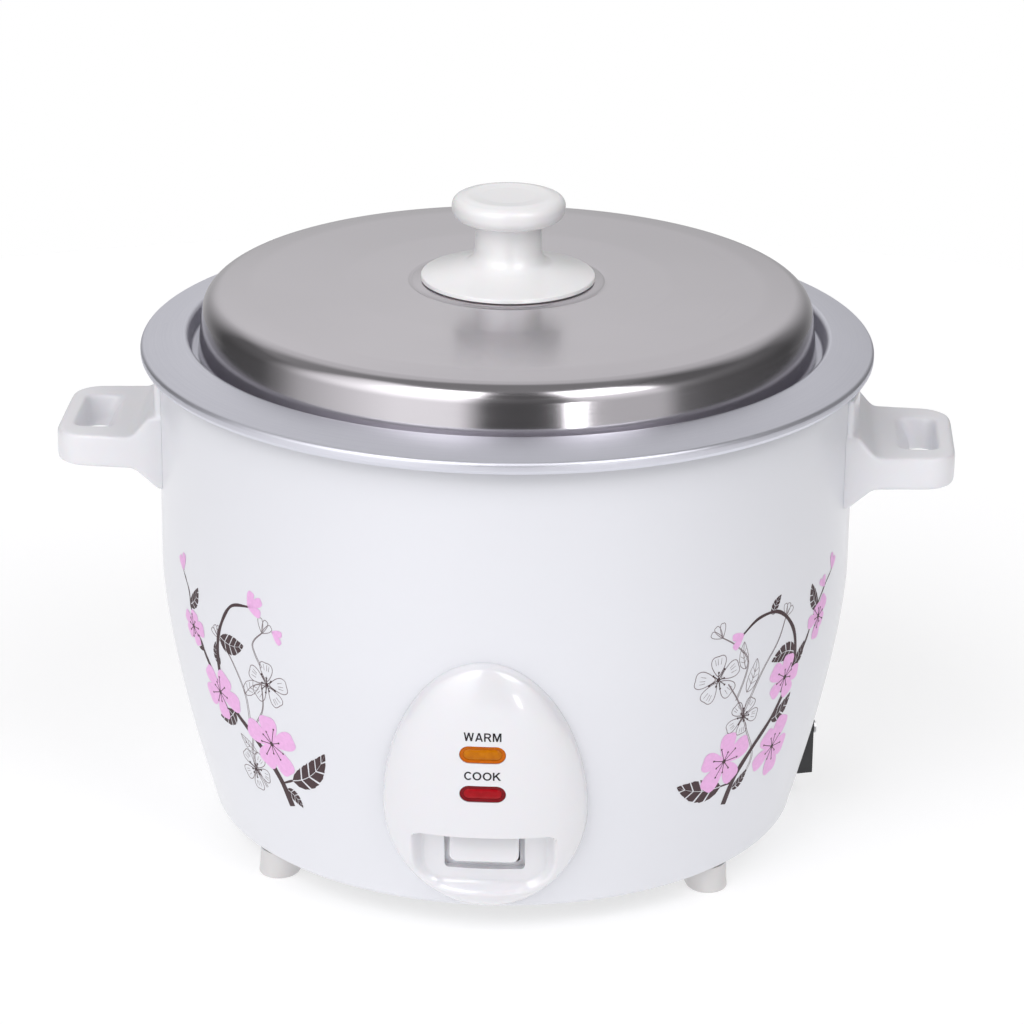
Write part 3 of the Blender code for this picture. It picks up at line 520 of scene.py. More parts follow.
def build_lid():
    corners = [
        (3.2 * MM, LID_TOP, 0),
        (34.6 * MM, LID_TOP - 0.1 * MM, 0),
        (35.6 * MM, LID_TOP - 0.6 * MM, 0.3 * MM),
        (36.8 * MM, LID_TOP - 0.3 * MM, 1.0 * MM),
        (60 * MM, LID_TOP - 0.75 * MM, 60 * MM),
        (95 * MM, LID_TOP - 2.4 * MM, 60 * MM),
        (111.4 * MM, LID_TOP - 4.2 * MM, 8.0 * MM),
        (LID_HEM_R, LID_LOW.z + 0.2 * MM, 0),
    ]
    skin = sheet_outline(rounded(corners, 16), LID_SKIN)
    sheet = turned("lid_sheet", skin, "lid", "lid", ["lid"], closed=True)
    knob = [
        (0, KNOB_TOP - 0.5 * MM, 0),
        (10 * MM, KNOB_TOP - 0.35 * MM, 20 * MM),
        (15.5 * MM, KNOB_TOP, 8 * MM),
        (KNOB_CAP_R, KNOB_TOP - 1.2 * MM, 3.4 * MM),
        (KNOB_CAP_R, KNOB_TOP - 8.6 * MM, 4.0 * MM),
        (12.2 * MM, KNOB_TOP - 9.6 * MM, 1.0 * MM),
        (12.3 * MM, 219.2 * MM, 6 * MM),
        (31.9 * MM, 213.7 * MM, 0.6 * MM),
        (KNOB_FOOT_R, LID_TOP + 0.4 * MM, 0.3 * MM),
        (2.5 * MM, LID_TOP + 0.4 * MM, 0),
        (2.5 * MM, 228 * MM, 0),
        (0, 228 * MM, 0),
    ]
    grip = turned("knob", rounded(knob, 10), "lid", "knob", ["lid_knob"], sides=SMALL_ROUND * 2)


# ---------------------------------------------------------------- heating chamber

def build_chamber():
    corners = [
        (124 * MM, 186.3 * MM, 0),
        (120.2 * MM, 186.3 * MM, 0.8 * MM),
        (115.5 * MM, 45 * MM, 12 * MM),
        (22 * MM, 45 * MM, 0),
    ]
    skin = sheet_outline(rounded(corners), -0.8 * MM)[::-1]
    liner = turned("liner", skin, "base", "liner", ["inner_liner"], closed=True)
    low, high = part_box("heating_plate")
    plate_r = across("heating_plate")
    corners = [
        (19.5 * MM, high.z, 0.5 * MM),
        (34 * MM, high.z, 0.6 * MM),
        (35 * MM, high.z - 0.6 * MM, 0.3 * MM),
        (37 * MM, high.z - 0.6 * MM, 0.3 * MM),
        (38 * MM, high.z, 0.6 * MM),
        (plate_r, high.z, 2.2 * MM),
        (plate_r, low.z, 1 * MM),
        (19.5 * MM, low.z, 0),
    ]
    outline = rounded(corners, 6, True)
    plate = turned("heater_plate", outline, "base", "heater", ["heating_plate"], closed=True)
    low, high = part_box("sensor_cap")
    sensor_r = across("sensor_cap")
    corners = [
        (0, high.z, 0),
        (sensor_r, high.z, 1.6 * MM),
        (sensor_r, low.z, 0),
        (sensor_r - 1 * MM, low.z, 0),
        (sensor_r - 1 * MM, high.z - 1.2 * MM, 0),
        (0, high.z - 1.2 * MM, 0),
    ]
    top = turned("sensor_top", rounded(corners, 8), "sensor", "sensor", ["sensor_cap"], sides=SMALL_ROUND)


# ---------------------------------------------------------------- handles

HANDLE_HALF_WIDTH = 30.0 * MM
HANDLE_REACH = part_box("handle_right")[1].x - 0.05 * MM
HANDLE_TOP = 156.3 * MM
HANDLE_BOTTOM = 143.8 * MM
GUSSET_X = 135.5 * MM
ROOT_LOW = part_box("handle_right")[0].z
PAD_THICK = 2.0 * MM
PAD_HIGH = 178.0 * MM


def build_handle(side, name):
    """Slab, gussets and the curved pad melted into one soft moulding, then trimmed to the body."""
    outline = [
        (118 * MM, ROOT_LOW, 0),
        (GUSSET_X - 9 * MM, ROOT_LOW, 1 * MM),
        (GUSSET_X, HANDLE_BOTTOM, 4 * MM),
        (HANDLE_REACH, HANDLE_BOTTOM, 1.5 * MM),
        (HANDLE_REACH, HANDLE_TOP, 1.5 * MM),
        (GUSSET_X + 1 * MM, HANDLE_TOP, 4 * MM),
        (GUSSET_X - 5.5 * MM, ROOT_LOW + 28 * MM, 2 * MM),
        (118 * MM, ROOT_LOW + 29 * MM, 0),
    ]
    outline = rounded(outline, 5, True)
    handle = prism(f"handle_{name}_moulding", outline, -HANDLE_HALF_WIDTH, HANDLE_HALF_WIDTH)
    handle.data.transform(Matrix.Rotation(math.radians(90), 4, "X"))
    plan = [
        (110 * MM, -HANDLE_HALF_WIDTH - 1.5 * MM, 0),
        (GUSSET_X, -HANDLE_HALF_WIDTH + 0.2 * MM, 0),
        (HANDLE_REACH, -HANDLE_HALF_WIDTH + 2.5 * MM, 12 * MM),
        (HANDLE_REACH, HANDLE_HALF_WIDTH - 2.5 * MM, 12 * MM),
        (GUSSET_X, HANDLE_HALF_WIDTH - 0.2 * MM, 0),
        (110 * MM, HANDLE_HALF_WIDTH + 1.5 * MM, 0),
    ]
    trim = prism("trim", rounded(plan, 8, True), 100 * MM, 200 * MM)
    combine(handle, [trim], "INTERSECT")
    pad = cylinder("pad", BODY_R + PAD_THICK, ROOT_LOW, PAD_HIGH)
    limits = block("limits", (110, -28.5, 100), (150, 28.5, 200))
    combine(pad, [limits], "INTERSECT")
    combine(handle, [pad], "UNION")
    combine(handle, [finger_hole()])
    melt(handle, 0.55 * MM, 40)
    combine(handle, [cylinder("body_space", BODY_R + 0.05 * MM, 100 * MM, 190 * MM)])
    if side < 0:
        handle.data.transform(Matrix.Rotation(math.pi, 4, "Z"))
    handle.data.materials.append(MATERIALS["moulding"])
    smooth(handle, 50)
    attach(handle, "base")
    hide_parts(f"handle_{name}")


def finger_hole():
    """A cutter that is upright on three sides and eases in on the side toward the body."""
    rings = []
    for z, inner, outer, half in (
        (140, 150.4, 158.6, 15.4),
        (146, 150.2, 158.6, 15.5),
        (150, 149.2, 158.7, 15.9),
        (153, 147.4, 158.9, 16.5),
        (156, 144.9, 159.3, 17.2),
        (160, 141.0, 160.0, 18.2),
    ):
        loop = rounded_box((inner, -half), (outer, half), 3.5, 5)
        rings.append([(x * MM, y * MM, z * MM) for x, y in loop])
    return loft("finger_hole", rings)


def cylinder(name, radius, low, high):
    return prism(name, circle(radius, ROUND), low, high)


def melt(obj, voxel, rounds):
    """Fuse the shape and round its edges, as moulded plastic is."""
    fuse = obj.modifiers.new("fuse", "REMESH")
    fuse.mode = "VOXEL"
    fuse.voxel_size = voxel
    fuse.adaptivity = 0
    relax = obj.modifiers.new("relax", "SMOOTH")
    relax.factor = 0.5
    relax.iterations = rounds
    bake_modifiers(obj)


# ---------------------------------------------------------------- feet

FOOT_R = 7.7 * MM
FOOT_TOP_R = 10.0 * MM
FOOT_TOP = 9.8 * MM
FOOT_LEAN = 4.0 * MM
FOOT_CENTRE_SHIFT = 3.15 * MM   # from the middle of its box out to the middle of its sole


def build_feet():
    for node in [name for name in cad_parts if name.startswith("foot_") and "screw" not in name]:
        low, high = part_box(node)
        middle = (low + high) / 2
        toward = Vector((-middle.x, -middle.y, 0)).normalized()
        rings = []
        profile = [(0, 0.35), (2.6, 0.35), (3.2, 0.0), (6.3, 0.0), (7.0, 0.2), (7.5, 0.7), (7.7, 1.4)]
        rows = [(r * MM, z * MM) for r, z in profile]
        steps = 6
        turn_z = rows[-1][1]
        for step in range(1, steps + 1):
            up = step / steps
            rows.append((FOOT_R + (FOOT_TOP_R - FOOT_R) * up ** 1.15, turn_z + (FOOT_TOP - turn_z) * up))
        centre = Vector((middle.x, middle.y, 0)) - toward * FOOT_CENTRE_SHIFT
        for r, z in rows:
            shift = toward * FOOT_LEAN * (z / FOOT_TOP)
            loop = circle(max(r, 0.01 * MM), SMALL_ROUND)
            rings.append([centre + shift + Vector((x, y, z)) for x, y in loop])
        foot = loft(f"{node}_moulding", rings, "foot", "base", [node])
        smooth(foot)


# ---------------------------------------------------------------- control panel

SLOT_SINK = 0.6 * MM        # how far the slot's floor lies behind the body's surface
COLLAR_STAND = 1.9 * MM     # how far the collar's front stands off the body
COLLAR_BACK = -113.2 * MM
SCOOP_TOP = 46.6 * MM
SCOOP_LOW = 19.6 * MM
SCOOP_HALF_WIDTH = 26.3 * MM
SCOOP_FLOOR = 2.4 * MM      # how far the recess floor stands off the body
SCOOP_EASE = 4.5 * MM       # how broad its sloping sides are
PANEL_ROWS = 150
PANEL_COLUMNS = 170


def rise_of(z):
    """Height from the panel's widest line: 1 at the top of the egg, -1 at its bottom."""
    return (z - PANEL_CENTRE_Z) / (PANEL_UP if z > PANEL_CENTRE_Z else PANEL_DOWN)


def egg_reach(x, z):
    """0 at the middle of the panel, 1 on its edge."""
    return math.hypot(x / PANEL_HALF_WIDTH, rise_of(z))


def wall_y(x, z):
    return -math.sqrt(body_radius(z) ** 2 - x * x)


def crown_y(x, z):
    """The panel's face without its recess."""
    reach = min(1.0, egg_reach(x, z))
    round_over = math.sqrt(min(1.0, (1 - reach) / PANEL_EDGE))
    rim = PANEL_FOOT + (PANEL_RIM - PANEL_FOOT) * round_over
    return wall_y(x, z) - rim - (PANEL_BULGE - PANEL_RIM) * math.sqrt(1 - reach ** 4)


def scoop_depth(x, z):
    """How fully the face drops to the recess floor: crisp at the top, easing out at the sides and below."""
    corner = 5 * MM
    over = max(0.0, abs(x) - (SCOOP_HALF_WIDTH - corner))
    edge = SCOOP_TOP - (corner - math.sqrt(max(0.0, corner * corner - over * over)))
    top = 1 - blend_step(z, edge - 0.5 * MM, edge)
    turn = 13 * MM
    aside = abs(x) - (SCOOP_HALF_WIDTH - turn)
    below = SCOOP_LOW + turn - z
    outside = math.hypot(max(aside, 0.0), max(below, 0.0)) + min(max(aside, below), 0.0)
    return top * blend_step(turn - outside, 0.0, SCOOP_EASE)


def face_y(x, z):
    outer = crown_y(x, z)
    floor = max(outer, wall_y(x, z) - SCOOP_FLOOR)
    return outer + (floor - outer) * scoop_depth(x, z)


def back_y(x, z):
    """The inner side: on the body round the edge, and one wall thickness behind the face elsewhere."""
    wall = 2.2 * MM
    clearance = 0.04 * MM
    hollow = 1 - blend_step(egg_reach(x, z), 0.6, 0.8)
    against = wall_y(x, z) - clearance
    return against + (min(against, face_y(x, z) + wall) - against) * hollow


def build_bezel():
    heights = set()
    for step in range(1, PANEL_ROWS):
        rise = math.sin(math.pi * (step / PANEL_ROWS - 0.5))
        heights.add(PANEL_CENTRE_Z + rise * (PANEL_UP if rise > 0 else PANEL_DOWN))
    fine = [SCOOP_TOP + offset * MM for offset in (-0.6, -0.5, -0.4, -0.3, -0.2, -0.1, 0.0, 0.1)]
    heights = {z for z in heights if abs(z - SCOOP_TOP) > 0.7 * MM} | set(fine)
    rows = sorted(heights)
    verts = []
    for depth in (face_y, back_y):
        for z in rows:
            half = PANEL_HALF_WIDTH * math.sqrt(1 - rise_of(z) ** 2)
            for step in range(PANEL_COLUMNS + 1):
                x = half * math.sin(math.pi * (step / PANEL_COLUMNS - 0.5)) * (1 - 1e-6)
                verts.append((x, depth(x, z), z))
    width = PANEL_COLUMNS + 1
    layer = len(rows) * width
    faces = []
    for row in range(len(rows) - 1):
        for here in range(row * width, row * width + PANEL_COLUMNS):
            quad = (here, here + 1, here + width + 1, here + width)
            faces.append(quad)
            faces.append(tuple(layer + corner for corner in quad[::-1]))
        for here in (row * width, row * width + PANEL_COLUMNS):
            faces.append((here, here + width, layer + here + width, layer + here))
    for row in (0, len(rows) - 1):
        for here in range(row * width, row * width + PANEL_COLUMNS):
            faces.append((here, here + 1, layer + here + 1, layer + here))
    bezel = add_piece("bezel", mesh_of("bezel", verts, faces), "base", None, ["panel_bezel"])
    face_out(bezel)
    combine(bezel, [slot_collar()], "UNION")
    cutters = [
        slot_well(),
        rounded_bar("mouth", 12.5 * MM, (30.8 * MM, SLOT_Z[1]), 1.2 * MM, -130 * MM, -100 * MM),
    ]
    tall = LENS_HEIGHT / 2
    for z in LENS_Z.values():
        heights = (z - tall, z + tall)
        hole = rounded_bar("hole", LENS_LENGTH / 2, heights, tall - 0.01 * MM, -140 * MM, -100 * MM)
        cutters.append(hole)
    combine(bezel, cutters)
    bezel.data.materials.clear()
    bezel.data.materials.append(MATERIALS["bezel"])
    smooth(bezel, 40)


def slot_well():
    """Cutter for the button's slot; its floor follows the body just behind the body's surface."""
    low, high = SLOT_Z
    middle = 37.5 * MM
    pieces = 6
    outline = []
    loop = rounded_box((-SLOT_HALF_WIDTH, low), (SLOT_HALF_WIDTH, high), 1.6 * MM)
    for (x, z), (next_x, next_z) in zip(loop, loop[1:] + loop[:1]):
        for step in range(pieces):
            outline.append((x + (next_x - x) * step / pieces, z + (next_z - z) * step / pieces))
    rings = [[(x, -140 * MM, z) for x, z in outline]]
    for shrink in (1.0, 0.6, 0.2):
        ring = [(x * shrink, middle + (z - middle) * shrink) for x, z in outline]
        rings.append([(x, wall_y(x, z) + SLOT_SINK, z) for x, z in ring])
    return loft("well", rings)


def slot_collar():
    """The wall and floor of the button's slot before they are cut out; its front lies within the face."""
    front, edge = [
        rounded_box((-half * MM, low * MM), (half * MM, high * MM), 1.5 * MM)
        for half, low, high in ((13.5, 30.2, 45.4), (15.7, 27.6, 47.8))
    ]
    rings = [[(x, wall_y(x, z) - COLLAR_STAND, z) for x, z in loop] for loop in (front, edge)]
    rings.append([(x, COLLAR_BACK, z) for x, z in edge])
    return loft("collar", rings)


def rounded_bar(name, half_width, heights, radius, front, back):
    """A bar with a rounded outline in XZ, running along Y."""
    loop = rounded_box((-half_width, heights[0]), (half_width, heights[1]), radius)
    return loft(name, [[(x, y, z) for x, z in loop] for y in (front, back)])


LENS_LENGTH = 16.3 * MM
LENS_HEIGHT = 6.9 * MM
LENS_Z = {"warm": 81.6 * MM, "cook": 65.5 * MM}


LENS_RIM = ((0, 5), (0, 0.45), (0.12, 0.22), (0.3, 0.15), (0.95, 0.3), (1.30, 0.42), (1.35, 5), (0, 5))
LENS_WINDOW = ((1.36, 4), (1.36, 0.42), (1.55, 0.25), (1.85, 0.08), (2.4, -0.08), (2.9, -0.1))
LENS_PLAY = 0.04 * MM


def lens_rings(z, section):
    """Loops round a lens, each drawn in by an inset at a depth behind the panel's face, in millimetres."""
    rings = []
    for inset, depth in section:
        half = LENS_LENGTH / 2 - LENS_PLAY - inset * MM
        tall = LENS_HEIGHT / 2 - LENS_PLAY - inset * MM
        loop = rounded_box((-half, -tall), (half, tall), tall * 0.995, 12)
        rings.append([(x, crown_y(x, z + up) + depth * MM, z + up) for x, up in loop])
    return rings


def build_lens(name, finish, core_finish):
    """A lens with a dark sunk margin and a raised, brighter window; the two tones of one plastic are painted
    light through the window and painted shade in the margin.
    """
    z = LENS_Z[name]
    node = f"{name}_lens"
    pieces = (
        loft(f"{node}_rim", lens_rings(z, LENS_RIM), finish, "base", [node], cap=False),
        loft(f"{node}_window", lens_rings(z, LENS_WINDOW), core_finish, "base"),
    )
    for piece in pieces:
        smooth(piece, 30)


def build_button():
    """The rocker's face: full round lower corners, softened edges, a slightly crowned front."""
    low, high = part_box("cook_button")
    half = high.x
    edge = 0.9 * MM             # round of the front edge
    behind = 1.0 * MM           # where that round starts, behind the front

    def loop(inset, y):
        corners = (inset - half, low.z + inset), (half - inset, high.z - inset)
        outline = rounded_box(*corners, 2.9 * MM - inset, top_radius=1.4 * MM - inset)
        return [(x, y, z) for x, z in outline]

    front = low.y
    rings = [loop(0.5 * MM, high.y), loop(0, high.y - 0.4 * MM), loop(0, front + behind)]
    for step in range(1, 6):
        angle = math.radians(90) * step / 5
        rings.append(loop(edge * (1 - math.cos(angle)), front + behind - edge * math.sin(angle)))
    rings.append(loop(1.2 * MM, front + 0.03 * MM))
    button = loft("button_face", rings, "bezel", "switch", ["cook_button"])
    combine(button, [block("pocket", (-7.4, -116.4, 37.0), (7.4, -100, 39.0))])
    smooth(button, 40)


def oval(x, z, half_width, half_height, start, end):
    steps = 20
    points = []
    for step in range(steps + 1):
        angle = math.radians(start + (end - start) * step / steps)
        points.append((x + half_width * math.cos(angle), z + half_height * math.sin(angle)))
    return points


# Outlines of plain capitals one unit high; a second outline is the hole in the letter
LETTERS = {
    "W": [[(0, 1), (0.2, 1), (0.346, 0.364), (0.55, 1), (0.75, 1), (0.954, 0.364), (1.1, 1), (1.3, 1),
           (1.07, 0), (0.87, 0), (0.65, 0.687), (0.43, 0), (0.23, 0)]],
    "A": [[(0, 0), (0.39, 1), (0.61, 1), (1, 0), (0.79, 0), (0.71, 0.22), (0.29, 0.22), (0.21, 0)],
          [(0.35, 0.38), (0.65, 0.38), (0.5, 0.8)]],
    "R": [[(0, 0), (0, 1), *oval(0.5, 0.705, 0.38, 0.295, 90, -65), (0.95, 0), (0.71, 0), (0.45, 0.4),
           (0.2, 0.4), (0.2, 0)],
          [(0.2, 0.56), (0.2, 0.84), *oval(0.48, 0.7, 0.2, 0.14, 90, -90)]],
    "M": [[(0, 0), (0, 1), (0.28, 1), (0.55, 0.33), (0.82, 1), (1.1, 1), (1.1, 0), (0.9, 0), (0.9, 0.68),
           (0.64, 0), (0.46, 0), (0.2, 0.68), (0.2, 0)]],
    "C": [[*oval(0.5, 0.5, 0.5, 0.52, 42, 318), *oval(0.5, 0.5, 0.3, 0.35, 318, 42)]],
    "O": [[*oval(0.54, 0.5, 0.54, 0.52, 0, 351)], [*oval(0.54, 0.5, 0.33, 0.35, 0, 351)]],
    "K": [[(0, 0), (0, 1), (0.2, 1), (0.2, 0.58), (0.66, 1), (0.93, 1), (0.5, 0.6), (0.98, 0), (0.73, 0),
           (0.36, 0.47), (0.2, 0.32), (0.2, 0)]],
}
LETTER_GAP = 0.14
LETTER_HEIGHT = 3.3 * MM


def build_label(word, z, width):
    """A printed word on the panel, in plain capitals; z is the height of its baseline."""
    curve = bpy.data.curves.new(word, "CURVE")
    curve.dimensions = "2D"
    curve.fill_mode = "BOTH"
    across_word = 0.0
    for letter in word:
        for outline in LETTERS[letter]:
            spline = curve.splines.new("POLY")
            spline.points.add(len(outline) - 1)
            for point, (x, up) in zip(spline.points, outline):
                point.co = (across_word + x, up, 0, 1)
            spline.use_cyclic_u = True
        across_word += max(x for x, up in LETTERS[letter][0]) + LETTER_GAP
    source = bpy.data.objects.new(word, curve)
    bpy.context.scene.collection.objects.link(source)
    mesh = mesh_from(source)
    bpy.data.objects.remove(source)
    bm = bmesh.new()
    bm.from_mesh(mesh)
    bmesh.ops.remove_doubles(bm, verts=bm.verts, dist=1e-5)
    bmesh.ops.subdivide_edges(bm, edges=bm.edges, cuts=1)
    total = across_word - LETTER_GAP
    for vert in bm.verts:
        x = (vert.co.x / total - 0.5) * width
        up = z + vert.co.y * LETTER_HEIGHT
        vert.co = (x, crown_y(x, up) - 0.05 * MM, up)
    bm.to_mesh(mesh)
    bm.free()
    label = add_piece(f"label_{word.lower()}", mesh, "base", "label_ink")
    thicken(label, 0.04 * MM)


def thicken(obj, thickness):
    sheet = obj.modifiers.new("ink", "SOLIDIFY")
    sheet.thickness = thickness
    sheet.offset = -1
    bake_modifiers(obj)


# ---------------------------------------------------------------- printed blossoms

def heading(angle):
    return Vector((math.cos(angle), math.sin(angle)))


def left_of(direction):
    return Vector((-direction.y, direction.x))


def curve_through(points):
    """A smooth line through points in millimetres (Catmull-Rom), sampled evenly enough to bend well."""
    spacing = 1.3
    padded = [points[0], *points, points[-1]]
    line = []
    for a, b, c, d in zip(padded, padded[1:], padded[2:], padded[3:]):
        a, b, c, d = Vector(a), Vector(b), Vector(c), Vector(d)
        count = max(2, math.ceil((c - b).length / spacing))
        for step in range(count):
            t = step / count
            squared = (2 * a - 5 * b + 4 * c - d) * t * t
            cubed = (3 * b - a - 3 * c + d) * t ** 3
            line.append(0.5 * ((2 * b) + (c - a) * t + squared + cubed))
    line.append(Vector(points[-1]))
    return line


def side_of(line, index):
    return left_of((line[min(len(line) - 1, index + 1)] - line[max(0, index - 1)]).normalized())


def ribbon(line, width_at):
    """A band along a line; width_at takes 0 to 1 along it."""
    verts = []
    faces = []
    for index, point in enumerate(line):
        half = side_of(line, index) * width_at(index / (len(line) - 1)) / 2
        verts += [point + half, point - half]
        if index:
            faces.append((2 * index - 2, 2 * index - 1, 2 * index + 1, 2 * index))
    return verts, faces


def petal_line(base, angle, length, width):
    """A petal's outline from its base round its tip and back."""
    ahead = heading(angle)
    aside = left_of(ahead)
    outline = []
    count = 18
    notch = 0.72
    for step in range(count + 1):
        t = math.pi * step / count
        along = (1 - math.cos(t)) / 2
        spread = math.sin(t) * (0.35 + 0.75 * along)
        outline.append((along - notch * max(0.0, along - 0.9) * (1 - spread), spread))
    points = []
    for sign, half in ((1, outline), (-1, outline[::-1])):
        for along, spread in half:
            points.append(base + ahead * along * length + aside * sign * spread * width / 2)
    return points


def filled(outline):
    """A patch inside an outline that runs up one side and down the other."""
    half = len(outline) // 2
    left = outline[:half]
    right = outline[half:][::-1]
    verts = []
    faces = []
    across = 3
    for row, (a, b) in enumerate(zip(left, right)):
        for step in range(across + 1):
            verts.append(a + (b - a) * step / across)
        if row:
            low = (row - 1) * (across + 1)
            for step in range(across):
                here = low + step
                faces.append((here, here + 1, here + across + 2, here + across + 1))
    return verts, faces


def leaf_point(base, angle, bend, length, t, aside_by):
    """A point beside the midrib of a bending leaf, t of the way along it."""
    turn = angle + bend * (t - 0.3)
    ahead = heading(turn)
    return base + ahead * length * t + left_of(ahead) * aside_by


def leaf_half_width(width, t):
    saw = 1 + 0.11 * ((t * 9) % 1.0 - 0.5)
    return max(0.03, width / 2 * math.sin(math.pi * min(1.0, t) ** 0.8) ** 0.8 * saw)


def leaf(base, angle, length, width, bend=0.25):
    """Patches between a pale midrib and pale side veins that slant toward the tip."""
    patches = []
    veins = 5
    rows = 5
    for sign in (1, -1):
        for vein in range(veins):
            verts = []
            faces = []
            start = vein / veins + (0.03 if vein else 0.0)
            for row in range(rows + 1):
                t = start + ((vein + 1) / veins - start) * row / rows
                outer = min(1.0, t + 0.13 * math.sin(math.pi * t) ** 0.5)
                rib = 0.2 * (1 - t) + 0.02
                edge = rib + leaf_half_width(width, outer)
                verts.append(leaf_point(base, angle, bend, length, t, sign * rib))
                verts.append(leaf_point(base, angle, bend, length, outer, sign * edge))
                if row:
                    faces.append((2 * row - 2, 2 * row - 1, 2 * row + 1, 2 * row))
            patches.append((verts, faces))
    return patches


def disc(centre, radius, count=10):
    ring = [centre + heading(math.tau * step / count) * radius for step in range(count)]
    return ring, [tuple(range(count))]


INK_LIFT = {"grey_ink": 0.045 * MM, "dark_ink": 0.06 * MM, "pink_ink": 0.10 * MM}
FINE_LIFT = 0.14 * MM
INK_THICK = 0.03 * MM


class Print:
    """The patches of one cluster, by ink and layer, in millimetres round the body and up it."""

    def __init__(self, name, side):
        self.name = name
        self.side = side
        self.layers = {}

    def add(self, ink, patch, fine=False):
        self.layers.setdefault((ink, fine), []).append(patch)

    def branch(self, points, thick, thin):
        line = curve_through(points)
        self.add("dark_ink", ribbon(line, lambda t: thick + (thin - thick) * t + 0.16 * math.sin(t * 31)))

    def twig(self, points, gap=0.9):
        """A hollow twig: two fine lines side by side that close up toward the tip."""
        line = curve_through(points)
        for sign in (1, -1):
            edge = []
            for index, point in enumerate(line):
                spread = gap * (1 - 0.75 * index / (len(line) - 1)) / 2
                edge.append(point + side_of(line, index) * sign * spread)
            self.add("grey_ink", ribbon(edge, lambda t: 0.26))

    def stroke(self, points, width=0.26):
        self.add("grey_ink", ribbon(points, lambda t: width * (1.1 - 0.4 * t)))

    def leaf(self, x, z, degrees, length, width, bend=0.25):
        for patch in leaf(Vector((x, z)), math.radians(degrees), length, width, bend):
            self.add("dark_ink", patch)

    def line_leaf(self, x, z, degrees, length, width, bend=0.25):
        """A leaf in outline with its midrib and a few side veins."""
        base = Vector((x, z))
        angle = math.radians(degrees)
        steps = [i / 14 for i in range(15)]

        def at(t, aside):
            return leaf_point(base, angle, bend, length, t, aside)

        self.stroke([at(t, 0.0) for t in steps])
        for sign in (1, -1):
            self.stroke([at(t, sign * leaf_half_width(width, t)) for t in steps])
            for t in (0.25, 0.42, 0.6):
                reach = leaf_half_width(width, t + 0.14) * 0.8
                self.stroke([at(t, 0.0), at(t + 0.07, sign * reach / 2), at(t + 0.14, sign * reach)], 0.2)

    def stamens(self, centre, radius, degrees, count, ink, heart):
        self.add(ink, disc(centre, heart), True)
        for step in range(count):
            angle = math.radians(degrees) + math.tau * (step + 0.25 * math.sin(step * 5.1)) / count
            reach = radius * (0.42 + 0.12 * math.sin(step * 2.3 + degrees))
            ahead = heading(angle)
            tip = centre + ahead * reach
            line = [centre + ahead * 0.3, centre + ahead * reach / 2, tip]
            self.add(ink, ribbon(line, lambda t: 0.3), True)
            self.add(ink, disc(tip, 0.42, 8), True)

    def blossom(self, x, z, radius, degrees, squash=1.0):
        """A full pink flower, its petals a little unlike each other."""
        centre = Vector((x, z))
        for step in range(5):
            angle = math.radians(degrees + 72 * step + 5 * math.sin(step * 3.7 + degrees))
            length = radius * (1 + 0.09 * math.sin(step * 2.1 + degrees)) * (squash if step in (1, 4) else 1)
            width = radius * (0.82 + 0.08 * math.sin(step * 4.3 + degrees))
            self.add("pink_ink", filled(petal_line(centre, angle, length, width)))
        self.stamens(centre, radius, degrees + 20, 9, "dark_ink", 0.95)

    def line_blossom(self, x, z, radius, degrees):
        """An open flower drawn in line."""
        centre = Vector((x, z))
        for step in range(5):
            angle = math.radians(degrees + 72 * step + 6 * math.sin(step * 2.9 + degrees))
            start = centre + heading(angle) * radius * 0.14
            length = radius * (0.86 + 0.07 * math.sin(step * 2.3 + degrees))
            outline = petal_line(start, angle, length, radius * 0.8)
            self.add("grey_ink", ribbon(outline, lambda t: 0.3))
            for turn in (-0.16, 0.05, 0.2):
                vein = heading(angle + turn)
                self.stroke([centre + vein * radius * reach for reach in (0.58, 0.7, 0.82)], 0.18)
        self.stamens(centre, radius * 0.8, degrees + 36, 8, "dark_ink", 0.85)

    def bud(self, x, z, degrees, length=5.0, petals=2):
        """A closed flower: two or three petals and the dark cup they stand in."""
        base = Vector((x, z))
        for step in range(petals):
            turn = (step - (petals - 1) / 2) * 42
            size = 1.0 if step == petals // 2 else 0.82
            angle = math.radians(degrees + turn)
            self.add("pink_ink", filled(petal_line(base, angle, length * size, length * 0.52)))
        self.leaf(x, z, degrees + 14, length * 0.42, length * 0.16)

    def line_bud(self, x, z, degrees, length=5.0):
        base = Vector((x, z))
        for turn in (-30, 4, 34):
            outline = petal_line(base, math.radians(degrees + turn), length, length * 0.5)
            self.add("grey_ink", ribbon(outline, lambda t: 0.26))

    def lay(self):
        """Bend every patch round the body, as one thin piece for each ink and layer."""
        for (ink, fine), patches in self.layers.items():
            lift = FINE_LIFT if fine else INK_LIFT[ink]
            verts = []
            faces = []
            for patch_verts, patch_faces in patches:
                first = len(verts)
                for point in patch_verts:
                    verts.append(on_body(self.side * point.x * MM / BODY_R, point.y * MM, lift))
                faces += [tuple(first + i for i in face) for face in patch_faces]
            name = f"print_{self.name}_{ink}" + ("_fine" if fine else "")
            piece = add_piece(name, mesh_of(name, verts, faces), "base", ink)
            outward(piece)
            thicken(piece, INK_THICK)


def outward(obj):
    """Turn every face away from the cooker's axis."""
    for face in obj.data.polygons:
        away = Vector((face.center.x, face.center.y, 0))
        if face.normal.dot(away) < 0:
            face.flip()
    obj.data.update()


